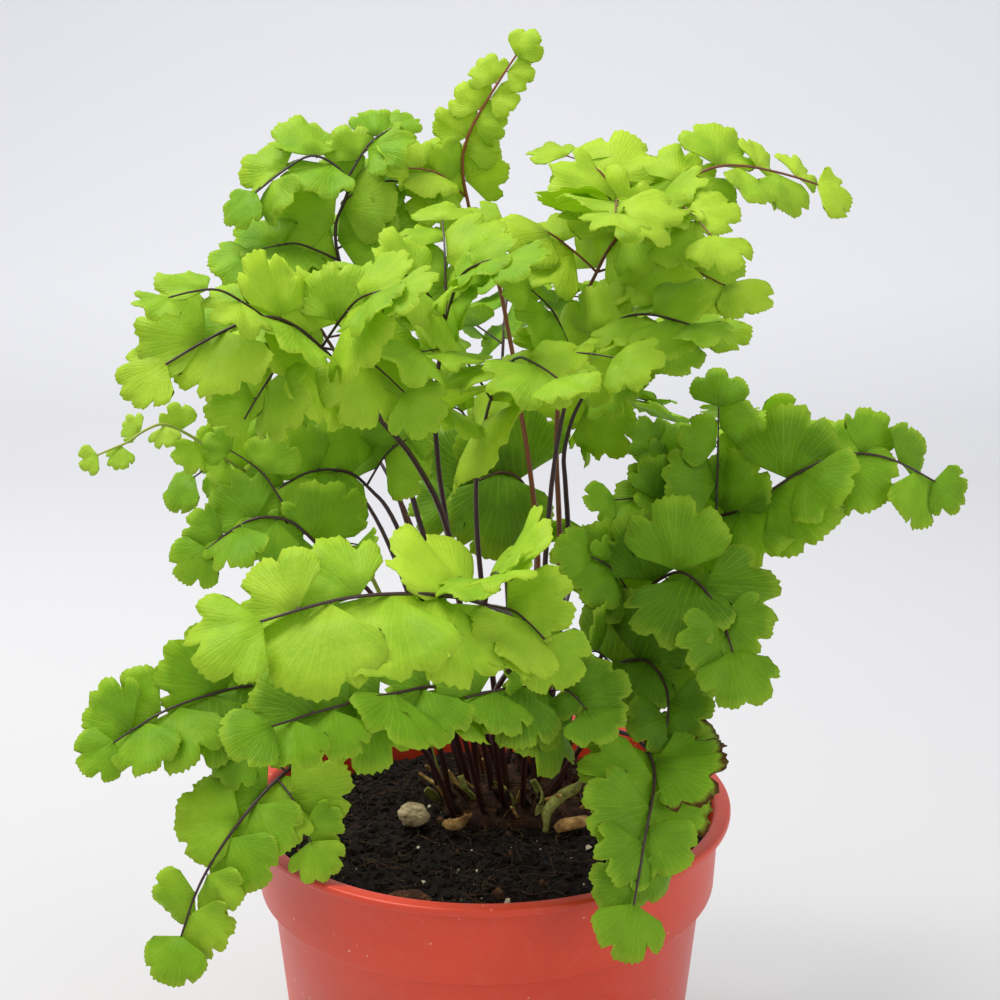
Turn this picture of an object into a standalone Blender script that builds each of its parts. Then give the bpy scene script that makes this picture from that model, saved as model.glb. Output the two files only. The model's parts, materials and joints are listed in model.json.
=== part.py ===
"""A maidenhair fern growing in a round 12 cm plastic nursery pot, filled with peat.

Each frond is a wiry stem and a leafy blade of fan-shaped leaflets. The lengths below are millimetres.
The origin is the centre of the pot's base, +Z is up and -Y is the front.
"""

import math
import random

import bmesh
import bpy
import numpy as np
from mathutils import Matrix, Vector
from mathutils.bvhtree import BVHTree

MM = 0.001
WELD = 0.000001

# Pot
POT_HEIGHT = 105.0
LIP_RADIUS = 60.0
LIP_THICKNESS = 2.0
BAND_RADIUS = 57.0
BAND_HEIGHT = 21.0
SHOULDER_RADIUS = 53.3
BASE_RADIUS = 44.5
WALL = 1.4
FLOOR = 2.0
TURN_STEPS = 40

# Soil and crown
GAP = 0.3
SOIL_EDGE_HEIGHT = 93.0
SOIL_TOP_HEIGHT = 97.0
SOIL_FLAT_RADIUS = 32.0
CROWN_CENTRE = (8.0, 15.0)
CROWN_HALF_WIDTH = 22.0
CROWN_HALF_DEPTH = 19.0
CROWN_HEIGHT = 6.0

# Stems and leaflets
SPAN_POINTS = 2
STEM_RADIUS = 0.8
BRANCH_RADIUS = 0.45
LEAFLET_THICKNESS = 0.6
CLEARANCE = 0.5
OWN_CLEARANCE = 0.1
FREE_START = 1.5
LEAFLET_RIM = [(-56, 0.82), (0, 1.0), (56, 0.82)]
LEAFLET_ANGLE = 62
LEAFLET_TWIST = 16
LEAFLET_MOVES = [
    (twist, lift, shrink)
    for shrink in (1.0, 0.85, 0.7, 0.58)
    for twist, lift in ((0, 0), (0, 14), (0, -14), (14, 0), (-14, 0), (0, 28), (0, -28), (26, 12), (-26, -12))
]

# One entry a frond: where its stem leaves the crown, the points its stem and then its blade pass through,
# the leaflets along the blade, their length, the way their upper faces look, and the side branches as
# (share of the blade, tip, leaflets, their length).
FRONDS = {
    "low_left": dict(
        root=(-9, 5), stem=[(-16, -3, 133), (-33, -14, 146), (-45, -22, 143)],
        blade=[(-57, -28, 143), (-71, -34, 140), (-82, -38, 134)],
        leaflets=11, length=16, face=(-0.1, -0.85, 0.5), branches=[(0.0, (-48, -32, 155), 4, 13)],
    ),
    "low_rim_left": dict(
        root=(-8, 0), stem=[(-16, -10, 122), (-31, -22, 128), (-43, -34, 127)],
        blade=[(-54, -45, 118), (-62, -50, 106), (-66, -53, 95)],
        leaflets=10, length=13, face=(-0.1, -0.85, 0.5),
        branches=[(0.0, (-56, -36, 132), 4, 12), (0.1, (-38, -46, 114), 4, 12)],
    ),
    "low_front": dict(
        root=(4, 1), stem=[(2, -28, 141), (10, -70, 169), (2, -98, 184)],
        blade=[(-9, -110, 190), (-22, -119, 192), (-35, -125, 190)],
        leaflets=9, length=18, face=(0.05, -0.65, 0.75),
        branches=[(0.0, (3, -115, 195), 4, 15), (0.0, (11, -107, 181), 3, 14)],
    ),
    "low_front_left": dict(
        root=(-1, 0), stem=[(-6, -20, 132), (-8, -44, 149)],
        blade=[(-17, -60, 154), (-28, -73, 156), (-40, -84, 156)],
        leaflets=12, length=15, face=(-0.1, -0.8, 0.6), branches=[],
    ),
    "low_front_right": dict(
        root=(9, 1), stem=[(10, -14, 126), (15, -28, 142)],
        blade=[(8, -40, 148), (-4, -50, 149)],
        leaflets=9, length=15, face=(0.1, -0.85, 0.5), branches=[(0.0, (22, -44, 144), 4, 13)],
    ),
    "low_rim_right": dict(
        root=(15, 3), stem=[(25, -10, 124), (34, -30, 132)],
        blade=[(37, -44, 129), (34, -57, 121), (31, -67, 110)],
        leaflets=11, length=15, face=(0.15, -0.9, 0.4), branches=[],
    ),
    "low_right": dict(
        root=(18, 7), stem=[(23, -2, 128), (29, -12, 142)],
        blade=[(37, -21, 147), (41, -29, 142), (40, -35, 134)],
        leaflets=9, length=14, face=(0.1, -0.85, 0.5), branches=[(0.0, (21, -26, 150), 4, 13)],
    ),
    "mid_right": dict(
        root=(18, 11), stem=[(26, 6, 133), (34, -8, 156)],
        blade=[(44, -20, 168), (51, -30, 163), (54, -38, 155)],
        leaflets=11, length=17, face=(0.15, -0.85, 0.5), branches=[(0.0, (24, -14, 170), 5, 13)],
    ),
    "long_right": dict(
        root=(20, 15), stem=[(23, 12, 136), (34, 8, 162), (46, 2, 173)],
        blade=[(59, -6, 179), (71, -12, 189), (82, -14, 194), (92, -15, 193), (102, -15, 188)],
        leaflets=15, length=15, face=(0.1, -0.8, 0.5),
        branches=[(0.0, (40, 4, 192), 5, 14), (0.0, (30, -4, 181), 4, 12), (0.15, (55, 4, 202), 5, 12)],
    ),
    "centre_fan": dict(
        root=(8, 26), stem=[(12, 32, 141), (12, 31, 171)],
        blade=[(4, 26, 181), (-8, 22, 176)],
        leaflets=5, length=20, face=(0, -0.9, 0.4), branches=[],
    ),
    "upper_right": dict(
        root=(15, 19), stem=[(20, 16, 166), (19, 16, 188), (24, 12, 204)],
        blade=[(33, 5, 214), (41, -1, 219), (51, -6, 221)],
        leaflets=8, length=13, face=(0.1, -0.6, 0.8), branches=[(0.0, (24, 26, 192), 4, 15)],
    ),
    "top_shoot": dict(
        root=(11, 21), stem=[(13, 23, 159), (8, 20, 201), (3, 16, 229), (-4, 11, 248)],
        blade=[(-5, 8, 261), (1, 6, 273), (7, 5, 282)],
        leaflets=11, length=8, face=(0, -0.7, 0.6), branches=[(0.0, (-18, 4, 257), 5, 11)],
    ),
    "top_right": dict(
        root=(14, 14), stem=[(18, 12, 160), (17, 10, 188), (18, 4, 212), (24, -6, 232)],
        blade=[(30, -14, 244), (38, -18, 252), (50, -18, 258), (62, -15, 257), (73, -12, 254)],
        leaflets=14, length=13, face=(0.05, -0.6, 0.75),
        branches=[(0.3, (18, -4, 260), 5, 14), (0.35, (46, -42, 245), 5, 14), (0.0, (52, -24, 233), 7, 14),
                  (0.2, (26, -50, 250), 6, 15), (0.0, (4, -6, 245), 6, 14)],
    ),
    "high_right": dict(
        root=(12, 7), stem=[(14, 2, 160), (16, -4, 190), (20, -12, 212)],
        blade=[(27, -22, 224), (34, -32, 228), (42, -42, 227)],
        leaflets=9, length=14, face=(0.05, -0.65, 0.75), branches=[(0.0, (10, -22, 232), 5, 14)],
    ),
    "high_front": dict(
        root=(5, 8), stem=[(-2, -6, 171), (-1, -16, 195)],
        blade=[(2, -34, 212), (7, -54, 222), (14, -74, 221)],
        leaflets=9, length=16, face=(0.05, -0.65, 0.75),
        branches=[(0.3, (-12, -60, 224), 4, 15), (0.3, (26, -54, 222), 3, 14), (0.0, (-10, -38, 209), 4, 13)],
    ),
    "high_middle": dict(
        root=(1, 9), stem=[(-8, -4, 166), (-11, -22, 203), (-8, -36, 226)],
        blade=[(-4, -48, 238), (4, -58, 242)],
        leaflets=7, length=14, face=(0, -0.65, 0.75),
        branches=[(0.0, (-20, -56, 239), 4, 14), (0.0, (-9, -22, 247), 4, 13)],
    ),
    "high_left": dict(
        root=(-2, 4), stem=[(-8, -26, 178), (-21, -50, 209), (-30, -62, 224)],
        blade=[(-38, -72, 232), (-46, -79, 231), (-57, -83, 225)],
        leaflets=10, length=14, face=(-0.1, -0.7, 0.7),
        branches=[(0.0, (-16, -78, 238), 5, 14), (0.45, (-54, -92, 238), 3, 10), (0.0, (-15, -66, 217), 4, 14),
                  (0.1, (-44, -78, 214), 5, 14)],
    ),
    "top_left": dict(
        root=(3, 15), stem=[(-15, 6, 169), (-21, 3, 194), (-25, 1, 216), (-33, 0, 234)],
        blade=[(-34, 0, 245), (-31, 0, 254), (-39, -4, 260), (-51, -8, 252)],
        leaflets=12, length=13, face=(-0.1, -0.6, 0.75),
        branches=[(0.45, (-21, 4, 266), 4, 11), (0.35, (-14, 2, 253), 4, 12), (0.1, (-20, 0, 241), 4, 12),
                  (0.0, (-52, -10, 239), 6, 13)],
    ),
    "upper_left": dict(
        root=(-1, 19), stem=[(-20, 12, 173), (-28, 13, 197), (-37, 8, 216)],
        blade=[(-44, 0, 228), (-52, -8, 226), (-62, -13, 218)],
        leaflets=9, length=12, face=(-0.1, -0.7, 0.7), branches=[(0.0, (-20, 9, 214), 5, 12)],
    ),
    "mid_left": dict(
        root=(-5, 13), stem=[(-19, 2, 166), (-27, -2, 183)],
        blade=[(-34, -8, 189), (-42, -13, 189), (-50, -16, 184)],
        leaflets=7, length=12, face=(-0.1, -0.85, 0.5), branches=[(0.0, (-18, -6, 196), 4, 12)],
    ),
    "inner_left": dict(
        root=(-12, 11), stem=[(-23, -6, 152), (-35, -18, 170)],
        blade=[(-43, -25, 181), (-52, -28, 182), (-61, -30, 176)],
        leaflets=9, length=12, face=(-0.1, -0.85, 0.5),
        branches=[(0.35, (-56, -24, 197), 3, 11), (0.0, (-28, -26, 176), 3, 11)],
    ),
    "young_left": dict(
        root=(-12, 16), stem=[(-26, 12, 152), (-40, 2, 176), (-51, -9, 186)],
        blade=[(-60, -21, 196), (-69, -30, 204), (-76, -34, 201), (-83, -34, 198)],
        leaflets=10, length=5, face=(0, -0.8, 0.5), branches=[],
    ),
    "back_far_left": dict(
        root=(-7, 21), stem=[(-22, 26, 154), (-35, 30, 178)],
        blade=[(-48, 28, 189), (-60, 23, 189), (-73, 20, 181)],
        leaflets=10, length=13, face=(-0.1, -0.7, 0.7), branches=[(0.0, (-52, 44, 190), 4, 12)],
    ),
    "back_left": dict(
        root=(0, 26), stem=[(-16, 46, 150), (-34, 68, 182)],
        blade=[(-50, 84, 190), (-66, 95, 186), (-80, 102, 174)],
        leaflets=11, length=14, face=(-0.3, 0.5, 0.8), branches=[(0.0, (-28, 92, 186), 5, 14)],
    ),
    "back_middle": dict(
        root=(8, 29), stem=[(4, 48, 168), (4, 62, 206)],
        blade=[(6, 76, 224), (10, 91, 230), (14, 106, 225)],
        leaflets=10, length=14, face=(0, 0.5, 0.85),
        branches=[(0.0, (-22, 80, 214), 5, 14), (0.1, (34, 84, 218), 5, 14)],
    ),
    "back_right": dict(
        root=(17, 25), stem=[(34, 42, 150), (54, 60, 180)],
        blade=[(68, 70, 187), (82, 79, 184), (96, 86, 172)],
        leaflets=11, length=14, face=(0.3, 0.4, 0.85), branches=[(0.0, (42, 84, 190), 5, 14)],
    ),
    "back_low": dict(
        root=(14, 30), stem=[(20, 50, 132), (27, 72, 150)],
        blade=[(30, 86, 151), (31, 98, 144), (31, 108, 132)],
        leaflets=9, length=13, face=(0.1, 0.6, 0.8), branches=[(0.0, (8, 88, 148), 4, 12)],
    ),
}

# Small loose pieces on the soil: centre, half sizes, turn about Z, tilt, sides
LOOSE_PIECES = {
    "pale_chip": ((-18.0, -3.5, 101.0), (4.4, 3.2, 2.0), 35, 28, 7),
    "bark_chip": ((-17.0, -40.0, 97.6), (5.5, 2.4, 1.1), 8, 12, 6),
}
DRY_LEAF_POINTS = [(-10, -5, 98.6), (-8, -7, 100.0), (-6, -6, 101.8), (-4.5, -3.5, 102.2)]

COLOURS = {
    "pot": ((0.52, 0.07, 0.035), 0.35),
    "soil": ((0.012, 0.007, 0.004), 0.95),
    "crown": ((0.045, 0.022, 0.010), 0.9),
    "stem": ((0.030, 0.010, 0.010), 0.35),
    "leaf": ((0.165, 0.385, 0.035), 0.5),
    "young": ((0.330, 0.480, 0.060), 0.45),
    "chip": ((0.420, 0.330, 0.180), 0.85),
    "bark": ((0.090, 0.045, 0.020), 0.9),
    "dry": ((0.230, 0.130, 0.045), 0.8),
}


# ---------------------------------------------------------------- scene and meshes

def clear_scene():
    for obj in list(bpy.data.objects):
        bpy.data.objects.remove(obj)


def new_collection(name):
    collection = bpy.data.collections.new(name)
    bpy.context.scene.collection.children.link(collection)
    return collection


def material(name):
    """The Principled material of this name, made on its first use."""
    found = bpy.data.materials.get(name)
    if found:
        return found
    colour, roughness = COLOURS[name]
    made = bpy.data.materials.new(name)
    made.use_nodes = True
    shader = made.node_tree.nodes["Principled BSDF"]
    shader.inputs["Base Color"].default_value = (*colour, 1.0)
    shader.inputs["Roughness"].default_value = roughness
    shader.inputs["Metallic"].default_value = 0.0
    made.diffuse_color = (*colour, 1.0)
    return made


def link(obj, collection, look=None):
    collection.objects.link(obj)
    if look:
        obj.data.materials.clear()
        obj.data.materials.append(material(look))
    return obj


def as_mesh(obj, name, collection, look=None):
    """A plain mesh object of what obj and its modifiers make; obj is removed."""
    bpy.context.view_layer.update()
    graph = bpy.context.evaluated_depsgraph_get()
    mesh = bpy.data.meshes.new_from_object(obj.evaluated_get(graph))
    place = obj.matrix_world.copy()
    bpy.data.objects.remove(obj)
    work = bmesh.new()
    work.from_mesh(mesh)
    bmesh.ops.remove_doubles(work, verts=work.verts, dist=WELD)
    work.to_mesh(mesh)
    work.free()
    mesh.name = name
    made = bpy.data.objects.new(name, mesh)
    made.matrix_world = place
    return link(made, collection, look)


def turned(name, profile, collection):
    """A shape turned about Z from (radius, height) points that run down its outer side, top to bottom."""
    mesh = bpy.data.meshes.new(name)
    points = [(radius * MM, 0, height * MM) for radius, height in profile]
    mesh.from_pydata(points, [(i, i + 1) for i in range(len(points) - 1)], [])
    obj = bpy.data.objects.new(name, mesh)
    collection.objects.link(obj)
    screw = obj.modifiers.new("turn", "SCREW")
    screw.steps = TURN_STEPS
    screw.render_steps = TURN_STEPS
    screw.use_merge_vertices = True
    screw.merge_threshold = 0.00001
    return obj


def join(obj, operands):
    """A Boolean union with all of operands; the MANIFOLD solver takes over where EXACT leaves an open edge."""
    step = obj.modifiers.new("join", "BOOLEAN")
    step.operation = "UNION"
    step.operand_type = "COLLECTION"
    step.collection = operands
    for solver in ("EXACT", "MANIFOLD"):
        step.solver = solver
        if is_closed(obj):
            return


def is_closed(obj):
    """Whether what obj's modifiers make is closed, and stays so when points this near become one."""
    bpy.context.view_layer.update()
    for near in (0.0, 0.0000003, WELD):
        work = bmesh.new()
        work.from_object(obj, bpy.context.evaluated_depsgraph_get())
        bmesh.ops.remove_doubles(work, verts=work.verts, dist=near)
        closed = all(edge.is_manifold for edge in work.edges)
        work.free()
        if not closed:
            return False
    return True


def smooth_shading(obj):
    obj.data.shade_smooth()
    obj.data.set_sharp_from_angle(angle=math.radians(35))


# ---------------------------------------------------------------- pot, soil, crown and loose pieces

def wall_radius(height):
    """Outer radius of the tapering wall below the band."""
    return BASE_RADIUS + (SHOULDER_RADIUS - BASE_RADIUS) * height / (POT_HEIGHT - BAND_HEIGHT)


def make_pot(parts):
    band_foot = POT_HEIGHT - BAND_HEIGHT
    profile = [
        (LIP_RADIUS, POT_HEIGHT),
        (LIP_RADIUS, POT_HEIGHT - LIP_THICKNESS),
        (BAND_RADIUS, POT_HEIGHT - LIP_THICKNESS - 0.6),
        (BAND_RADIUS - 0.9, band_foot + 1.0),
        (SHOULDER_RADIUS, band_foot),
        (BASE_RADIUS + 1.0, 1.6),
        (BASE_RADIUS, 0.0),
        (0.0, 0.0),
        (0.0, FLOOR),
        (wall_radius(FLOOR) - WALL, FLOOR),
        (SHOULDER_RADIUS - WALL, band_foot),
        (BAND_RADIUS - 0.9 - WALL, band_foot + 2.0),
        (BAND_RADIUS - WALL, POT_HEIGHT - 1.2),
        (BAND_RADIUS - WALL + 1.0, POT_HEIGHT),
        (LIP_RADIUS, POT_HEIGHT),
    ]
    pot = as_mesh(turned("pot", profile, parts), "pot", parts, "pot")
    smooth_shading(pot)
    return pot


def soil_height(radius):
    """Height of the soil's surface this far from the pot's axis."""
    reach = BAND_RADIUS - WALL - SOIL_FLAT_RADIUS
    fall = max(0.0, min(1.0, (radius - SOIL_FLAT_RADIUS) / reach))
    return SOIL_TOP_HEIGHT - (SOIL_TOP_HEIGHT - SOIL_EDGE_HEIGHT) * fall**1.5


def make_soil(parts):
    band_foot = POT_HEIGHT - BAND_HEIGHT
    edge = BAND_RADIUS - 0.9 - WALL - GAP
    top = [(radius, soil_height(radius)) for radius in (0.0, SOIL_FLAT_RADIUS, 42.0, 49.0)]
    profile = top + [
        (edge, SOIL_EDGE_HEIGHT),
        (edge, band_foot + 2.0),
        (SHOULDER_RADIUS - WALL - GAP, band_foot),
        (wall_radius(FLOOR) - WALL - GAP, FLOOR + GAP),
        (0.0, FLOOR + GAP),
    ]
    soil = as_mesh(turned("soil", profile, parts), "soil", parts, "soil")
    smooth_shading(soil)
    return soil


def crown_height(x, y):
    """Height of the crown's domed top over this point."""
    across = (x - CROWN_CENTRE[0]) / CROWN_HALF_WIDTH
    along = (y - CROWN_CENTRE[1]) / CROWN_HALF_DEPTH
    rise = math.sqrt(max(0.0, 1 - across**2 - along**2))
    return SOIL_TOP_HEIGHT + GAP + CROWN_HEIGHT * rise


def make_crown(parts):
    """The low woody crown that the stems grow from: the upper half of a flattened ball."""
    mesh = bpy.data.meshes.new("crown")
    work = bmesh.new()
    bmesh.ops.create_uvsphere(work, u_segments=20, v_segments=10, radius=1)
    bmesh.ops.bisect_plane(
        work, geom=work.verts[:] + work.edges[:] + work.faces[:],
        plane_co=(0, 0, 0.04), plane_no=(0, 0, 1), clear_inner=True,
    )
    bmesh.ops.holes_fill(work, edges=[edge for edge in work.edges if edge.is_boundary])
    bmesh.ops.scale(work, vec=(CROWN_HALF_WIDTH * MM, CROWN_HALF_DEPTH * MM, CROWN_HEIGHT * MM), verts=work.verts)
    foot = min(vert.co.z for vert in work.verts)
    base = Vector((CROWN_CENTRE[0] * MM, CROWN_CENTRE[1] * MM, (SOIL_TOP_HEIGHT + GAP) * MM - foot))
    bmesh.ops.translate(work, vec=base, verts=work.verts)
    bmesh.ops.recalc_face_normals(work, faces=work.faces)
    work.to_mesh(mesh)
    work.free()
    crown = link(bpy.data.objects.new("crown", mesh), parts, "crown")
    smooth_shading(crown)
    return crown


def make_chip(name, parts):
    """A worn flat chip: a low cylinder whose rim is bevelled."""
    (x, y, z), (half_x, half_y, half_z), turn, tilt, sides = LOOSE_PIECES[name]
    bpy.ops.mesh.primitive_cylinder_add(vertices=sides, radius=1, depth=2)
    chip = bpy.context.object
    chip.name = name
    bpy.context.collection.objects.unlink(chip)
    chip.data.transform(Matrix.Diagonal((half_x * MM, half_y * MM, half_z * MM, 1)))
    chip.location = (x * MM, y * MM, z * MM)
    chip.rotation_euler = (math.radians(tilt), 0, math.radians(turn))
    round_off = chip.modifiers.new("worn", "BEVEL")
    round_off.width = 0.5 * half_z * MM
    round_off.segments = 1
    return link(chip, parts, "chip" if name == "pale_chip" else "bark")


# ---------------------------------------------------------------- growth rules

def unit(vector):
    vector = np.asarray(vector, float)
    return vector / np.linalg.norm(vector)


def smooth_path(points, span_points=SPAN_POINTS):
    """Points along a smooth curve through points, span_points to a span."""
    points = np.array(points, float)
    padded = np.vstack([2 * points[0] - points[1], points, 2 * points[-1] - points[-2]])
    path = []
    for before, start, end, after in zip(padded, padded[1:], padded[2:], padded[3:]):
        for t in np.arange(span_points) / span_points:
            path.append(0.5 * (2 * start + (end - before) * t
                               + (2 * before - 5 * start + 4 * end - after) * t**2
                               + (3 * start - before - 3 * end + after) * t**3))
    return np.array(path + [points[-1]])


def lengths_along(path):
    return np.concatenate([[0], np.cumsum(np.linalg.norm(np.diff(path, axis=0), axis=1))])


def place_on(path, share):
    """The point this share of the way along the path, and the path's direction there."""
    along = lengths_along(path)
    target = share * along[-1]
    i = min(int(np.searchsorted(along, target, side="right")) - 1, len(path) - 2)
    step = path[i + 1] - path[i]
    return path[i] + step * (target - along[i]) / (along[i + 1] - along[i]), unit(step)


def leaflet_frames(path, start, count, length, face, seed):
    """(base, outward, face, length) of each leaflet: alternate sides of the path, and the last at its tip."""
    chance = random.Random(seed)
    frames = []
    for i in range(count):
        at_tip = i == count - 1
        share = start + (1 - start) * (i + 0.15) / (count - 0.6)
        if at_tip:
            share = 1 - 0.8 / lengths_along(path)[-1]
        base, forward = place_on(path, share)
        sway = chance.uniform(-13, 13)
        up = unit(unit(face) - forward * (unit(face) @ forward))
        side = np.cross(forward, up) * (1 if i % 2 else -1)
        lean = math.radians(0 if at_tip else LEAFLET_ANGLE + sway)
        outward = forward * math.cos(lean) + side * math.sin(lean)
        outward = unit(outward + np.array([0, 0, -0.5 * math.tan(math.radians(chance.uniform(4, 20)))]))
        twist = (0 if at_tip else LEAFLET_TWIST * (-1 if i % 2 else 1)) + chance.uniform(-13, 13)
        up = turned_about(unit(up - outward * (up @ outward)), outward, twist)
        size = length * (1 - 0.38 * share**1.3) * chance.uniform(0.84, 1.18)
        frames.append((base, outward, up, size))
    return frames


def turned_about(vector, axis, degrees):
    angle = math.radians(degrees)
    return vector * math.cos(angle) + np.cross(axis, vector) * math.sin(angle)


def moved_frame(frame, move):
    """The frame of a leaflet twisted about its stalk, lifted and shrunk."""
    base, outward, up, size = frame
    twist, lift, shrink = move
    across = np.cross(outward, up)
    outward = turned_about(outward, across, lift)
    up = turned_about(turned_about(up, across, lift), outward, twist)
    return base, outward, up, size * shrink


def leaflet_plate(frame, start, extra):
    """Corners and faces of the leaflet's flat plate from this far off its stem; extra widens it all round."""
    base, outward, up, size = frame
    across = np.cross(outward, up)
    rim = [base + outward * (start - extra)]
    for turn, reach in LEAFLET_RIM:
        angle = math.radians(turn)
        rim.append(base + (size * reach + extra) * (outward * math.cos(angle) + across * math.sin(angle)))
    half = (LEAFLET_THICKNESS / 2 + extra) * up
    corners = [point + half for point in rim] + [point - half for point in rim]
    sides = len(rim)
    faces = [tuple(range(sides)), tuple(range(2 * sides - 1, sides - 1, -1))]
    faces += [(i, (i + 1) % sides, (i + 1) % sides + sides, i + sides) for i in range(sides)]
    return corners, faces


def plate_tree(frame, start, extra):
    corners, faces = leaflet_plate(frame, start, extra)
    return BVHTree.FromPolygons([Vector(corner) for corner in corners], faces)


# ---------------------------------------------------------------- fronds

class Obstacles:
    """What is already in place, each as a search tree with the frond it belongs to."""

    def __init__(self):
        self.trees = []
        self.lines = []

    def add_object(self, obj, owner=None):
        place = obj.matrix_world
        points = [place @ vert.co / MM for vert in obj.data.vertices]
        self.trees.append((owner, BVHTree.FromPolygons(points, [tuple(p.vertices) for p in obj.data.polygons])))

    def add_leaflet(self, frame, owner):
        self.trees.append((owner, plate_tree(frame, 0.0, 0.0)))

    def hits(self, frame, owner):
        """Whether the leaflet would meet another frond, or a leaflet of its own."""
        near = plate_tree(frame, FREE_START, OWN_CLEARANCE)
        far = plate_tree(frame, 0.0, CLEARANCE)
        for other, tree in self.trees:
            if other == f"lines of {owner}":
                continue
            if (near if other == owner else far).overlap(tree):
                return True
        return False

    def near_line(self, points, radii):
        """Whether a tube through these points would come too near a tube or a body already in place."""
        points, radii = dense_line(points, radii)
        for others, other_radii in self.lines:
            apart = np.linalg.norm(points[:, None] - others[None], axis=2)
            if (apart < radii[:, None] + other_radii[None] + CLEARANCE).any():
                return True
        for _, tree in self.trees:
            for point, radius in zip(points[8:], radii[8:]):
                if tree.find_nearest(Vector(point))[3] < radius + CLEARANCE:
                    return True
        return False

    def add_line(self, points, radii):
        self.lines.append(dense_line(points, radii))


def dense_line(points, radii):
    """The line with a point about every 0.7 mm."""
    along = lengths_along(points)
    fine = np.linspace(0, along[-1], max(2, int(along[-1] / 0.7)))
    columns = [np.interp(fine, along, points[:, k]) for k in range(3)]
    return np.stack(columns, axis=1), np.interp(fine, along, radii)


def tube(name, points, radii, collection):
    """A tube with closed ends through points, as a mesh object; fine ones have four sides."""
    curve = bpy.data.curves.new(name, "CURVE")
    curve.dimensions = "3D"
    curve.bevel_depth = MM
    curve.bevel_resolution = 1 if max(radii) > 1.1 * BRANCH_RADIUS else 0
    curve.use_fill_caps = True
    spline = curve.splines.new("POLY")
    spline.points.add(len(points) - 1)
    for spot, point, radius in zip(spline.points, points, radii):
        spot.co = (*(point * MM), 1)
        spot.radius = radius
    obj = bpy.data.objects.new(name, curve)
    collection.objects.link(obj)
    return as_mesh(obj, name, collection)


class Frond:
    """The lines and leaflets of one frond, from its entry in FRONDS."""

    def __init__(self, name):
        entry = FRONDS[name]
        self.name = name
        self.entry = entry
        x, y = entry["root"]
        root = (x, y, crown_height(x, y) + 1.0)
        whole = smooth_path([root] + entry["stem"] + entry["blade"])
        split = SPAN_POINTS * len(entry["stem"])
        self.stem = whole[: split + 1]
        self.blade = whole[split:]
        end = unit(self.blade[1] - self.blade[0]) * (GAP + 0.2)
        self.blade = np.vstack([self.blade[0] + end, self.blade[1:]])
        self.branches = []
        for share, tip, count, length in entry["branches"]:
            start, _ = place_on(self.blade, max(share, 0.04))
            tip = np.array(tip, float)
            rise = np.array([0, 0, 0.14 * np.linalg.norm(tip - start)])
            self.branches.append((smooth_path([start, (start + tip) / 2 + rise, tip]), count, length))

    def tubes(self):
        """(points, radii) of the stem, the blade's midrib and each branch."""
        thick = STEM_RADIUS if self.entry["length"] > 6 else 0.65
        neck = 0.62 * thick + 0.08
        lines = [(self.stem, np.linspace(thick, neck, len(self.stem)))]
        lines.append((self.blade, np.linspace(neck, BRANCH_RADIUS * 0.85, len(self.blade))))
        for path, _, _ in self.branches:
            lines.append((path, np.linspace(BRANCH_RADIUS, BRANCH_RADIUS * 0.85, len(path))))
        return lines

    def leaflets(self):
        face = self.entry["face"]
        frames = leaflet_frames(self.blade, 0.04, self.entry["leaflets"], self.entry["length"], face, self.name)
        for i, (path, count, length) in enumerate(self.branches):
            frames += leaflet_frames(path, 0.25, count, length, face, f"{self.name} {i}")
        return frames


def grow_frond(name, obstacles):
    """The frond of this name; it says so if a line of it comes too near another."""
    frond = Frond(name)
    for line in frond.tubes():
        if obstacles.near_line(*line):
            print(f"{name}: too near another frond")
    for line in frond.tubes():
        obstacles.add_line(*line)
    return frond


def leaflet_template():
    """The unit leaflet: a flat outline of real thickness, as one closed mesh."""
    curve = bpy.data.curves.new("leaflet", "CURVE")
    curve.dimensions = "2D"
    curve.fill_mode = "BOTH"
    curve.extrude = LEAFLET_THICKNESS / 2 * MM
    spline = curve.splines.new("POLY")
    rim = [(0, 0)] + [(r * math.cos(math.radians(a)), r * math.sin(math.radians(a))) for a, r in LEAFLET_RIM]
    spline.points.add(len(rim) - 1)
    for spot, (x, y) in zip(spline.points, rim):
        spot.co = (x * MM, y * MM, 0, 1)
    spline.use_cyclic_u = True
    obj = bpy.data.objects.new("leaflet", curve)
    bpy.context.scene.collection.objects.link(obj)
    made = as_mesh(obj, "leaflet", bpy.context.scene.collection)
    mesh = made.data
    bpy.data.objects.remove(made)
    return mesh


def place_leaflet(mesh, frame, helpers):
    base, outward, up, size = frame
    across = np.cross(up, outward)
    turn = Matrix([[outward[k], across[k], up[k]] for k in range(3)]).to_4x4()
    obj = bpy.data.objects.new("leaflet", mesh)
    helpers.objects.link(obj)
    obj.matrix_world = Matrix.Translation(base * MM) @ turn @ Matrix.Diagonal((size, size, 1, 1))


def make_leaf(frond, frames, template, parts, helpers):
    """The blade: midrib, branches and leaflets joined into one body."""
    lines = frond.tubes()
    leaf = tube(f"leaf_{frond.name}", *lines[1], parts)
    for i, line in enumerate(lines[2:]):
        tube(f"branch_{i}", *line, helpers)
    for frame in frames:
        place_leaflet(template, frame, helpers)
    join(leaf, helpers)
    look = "young" if frond.name == "young_left" else "leaf"
    leaf = as_mesh(leaf, f"leaf_{frond.name}", parts, look)
    for helper in list(helpers.objects):
        bpy.data.objects.remove(helper)
    return leaf


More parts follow.
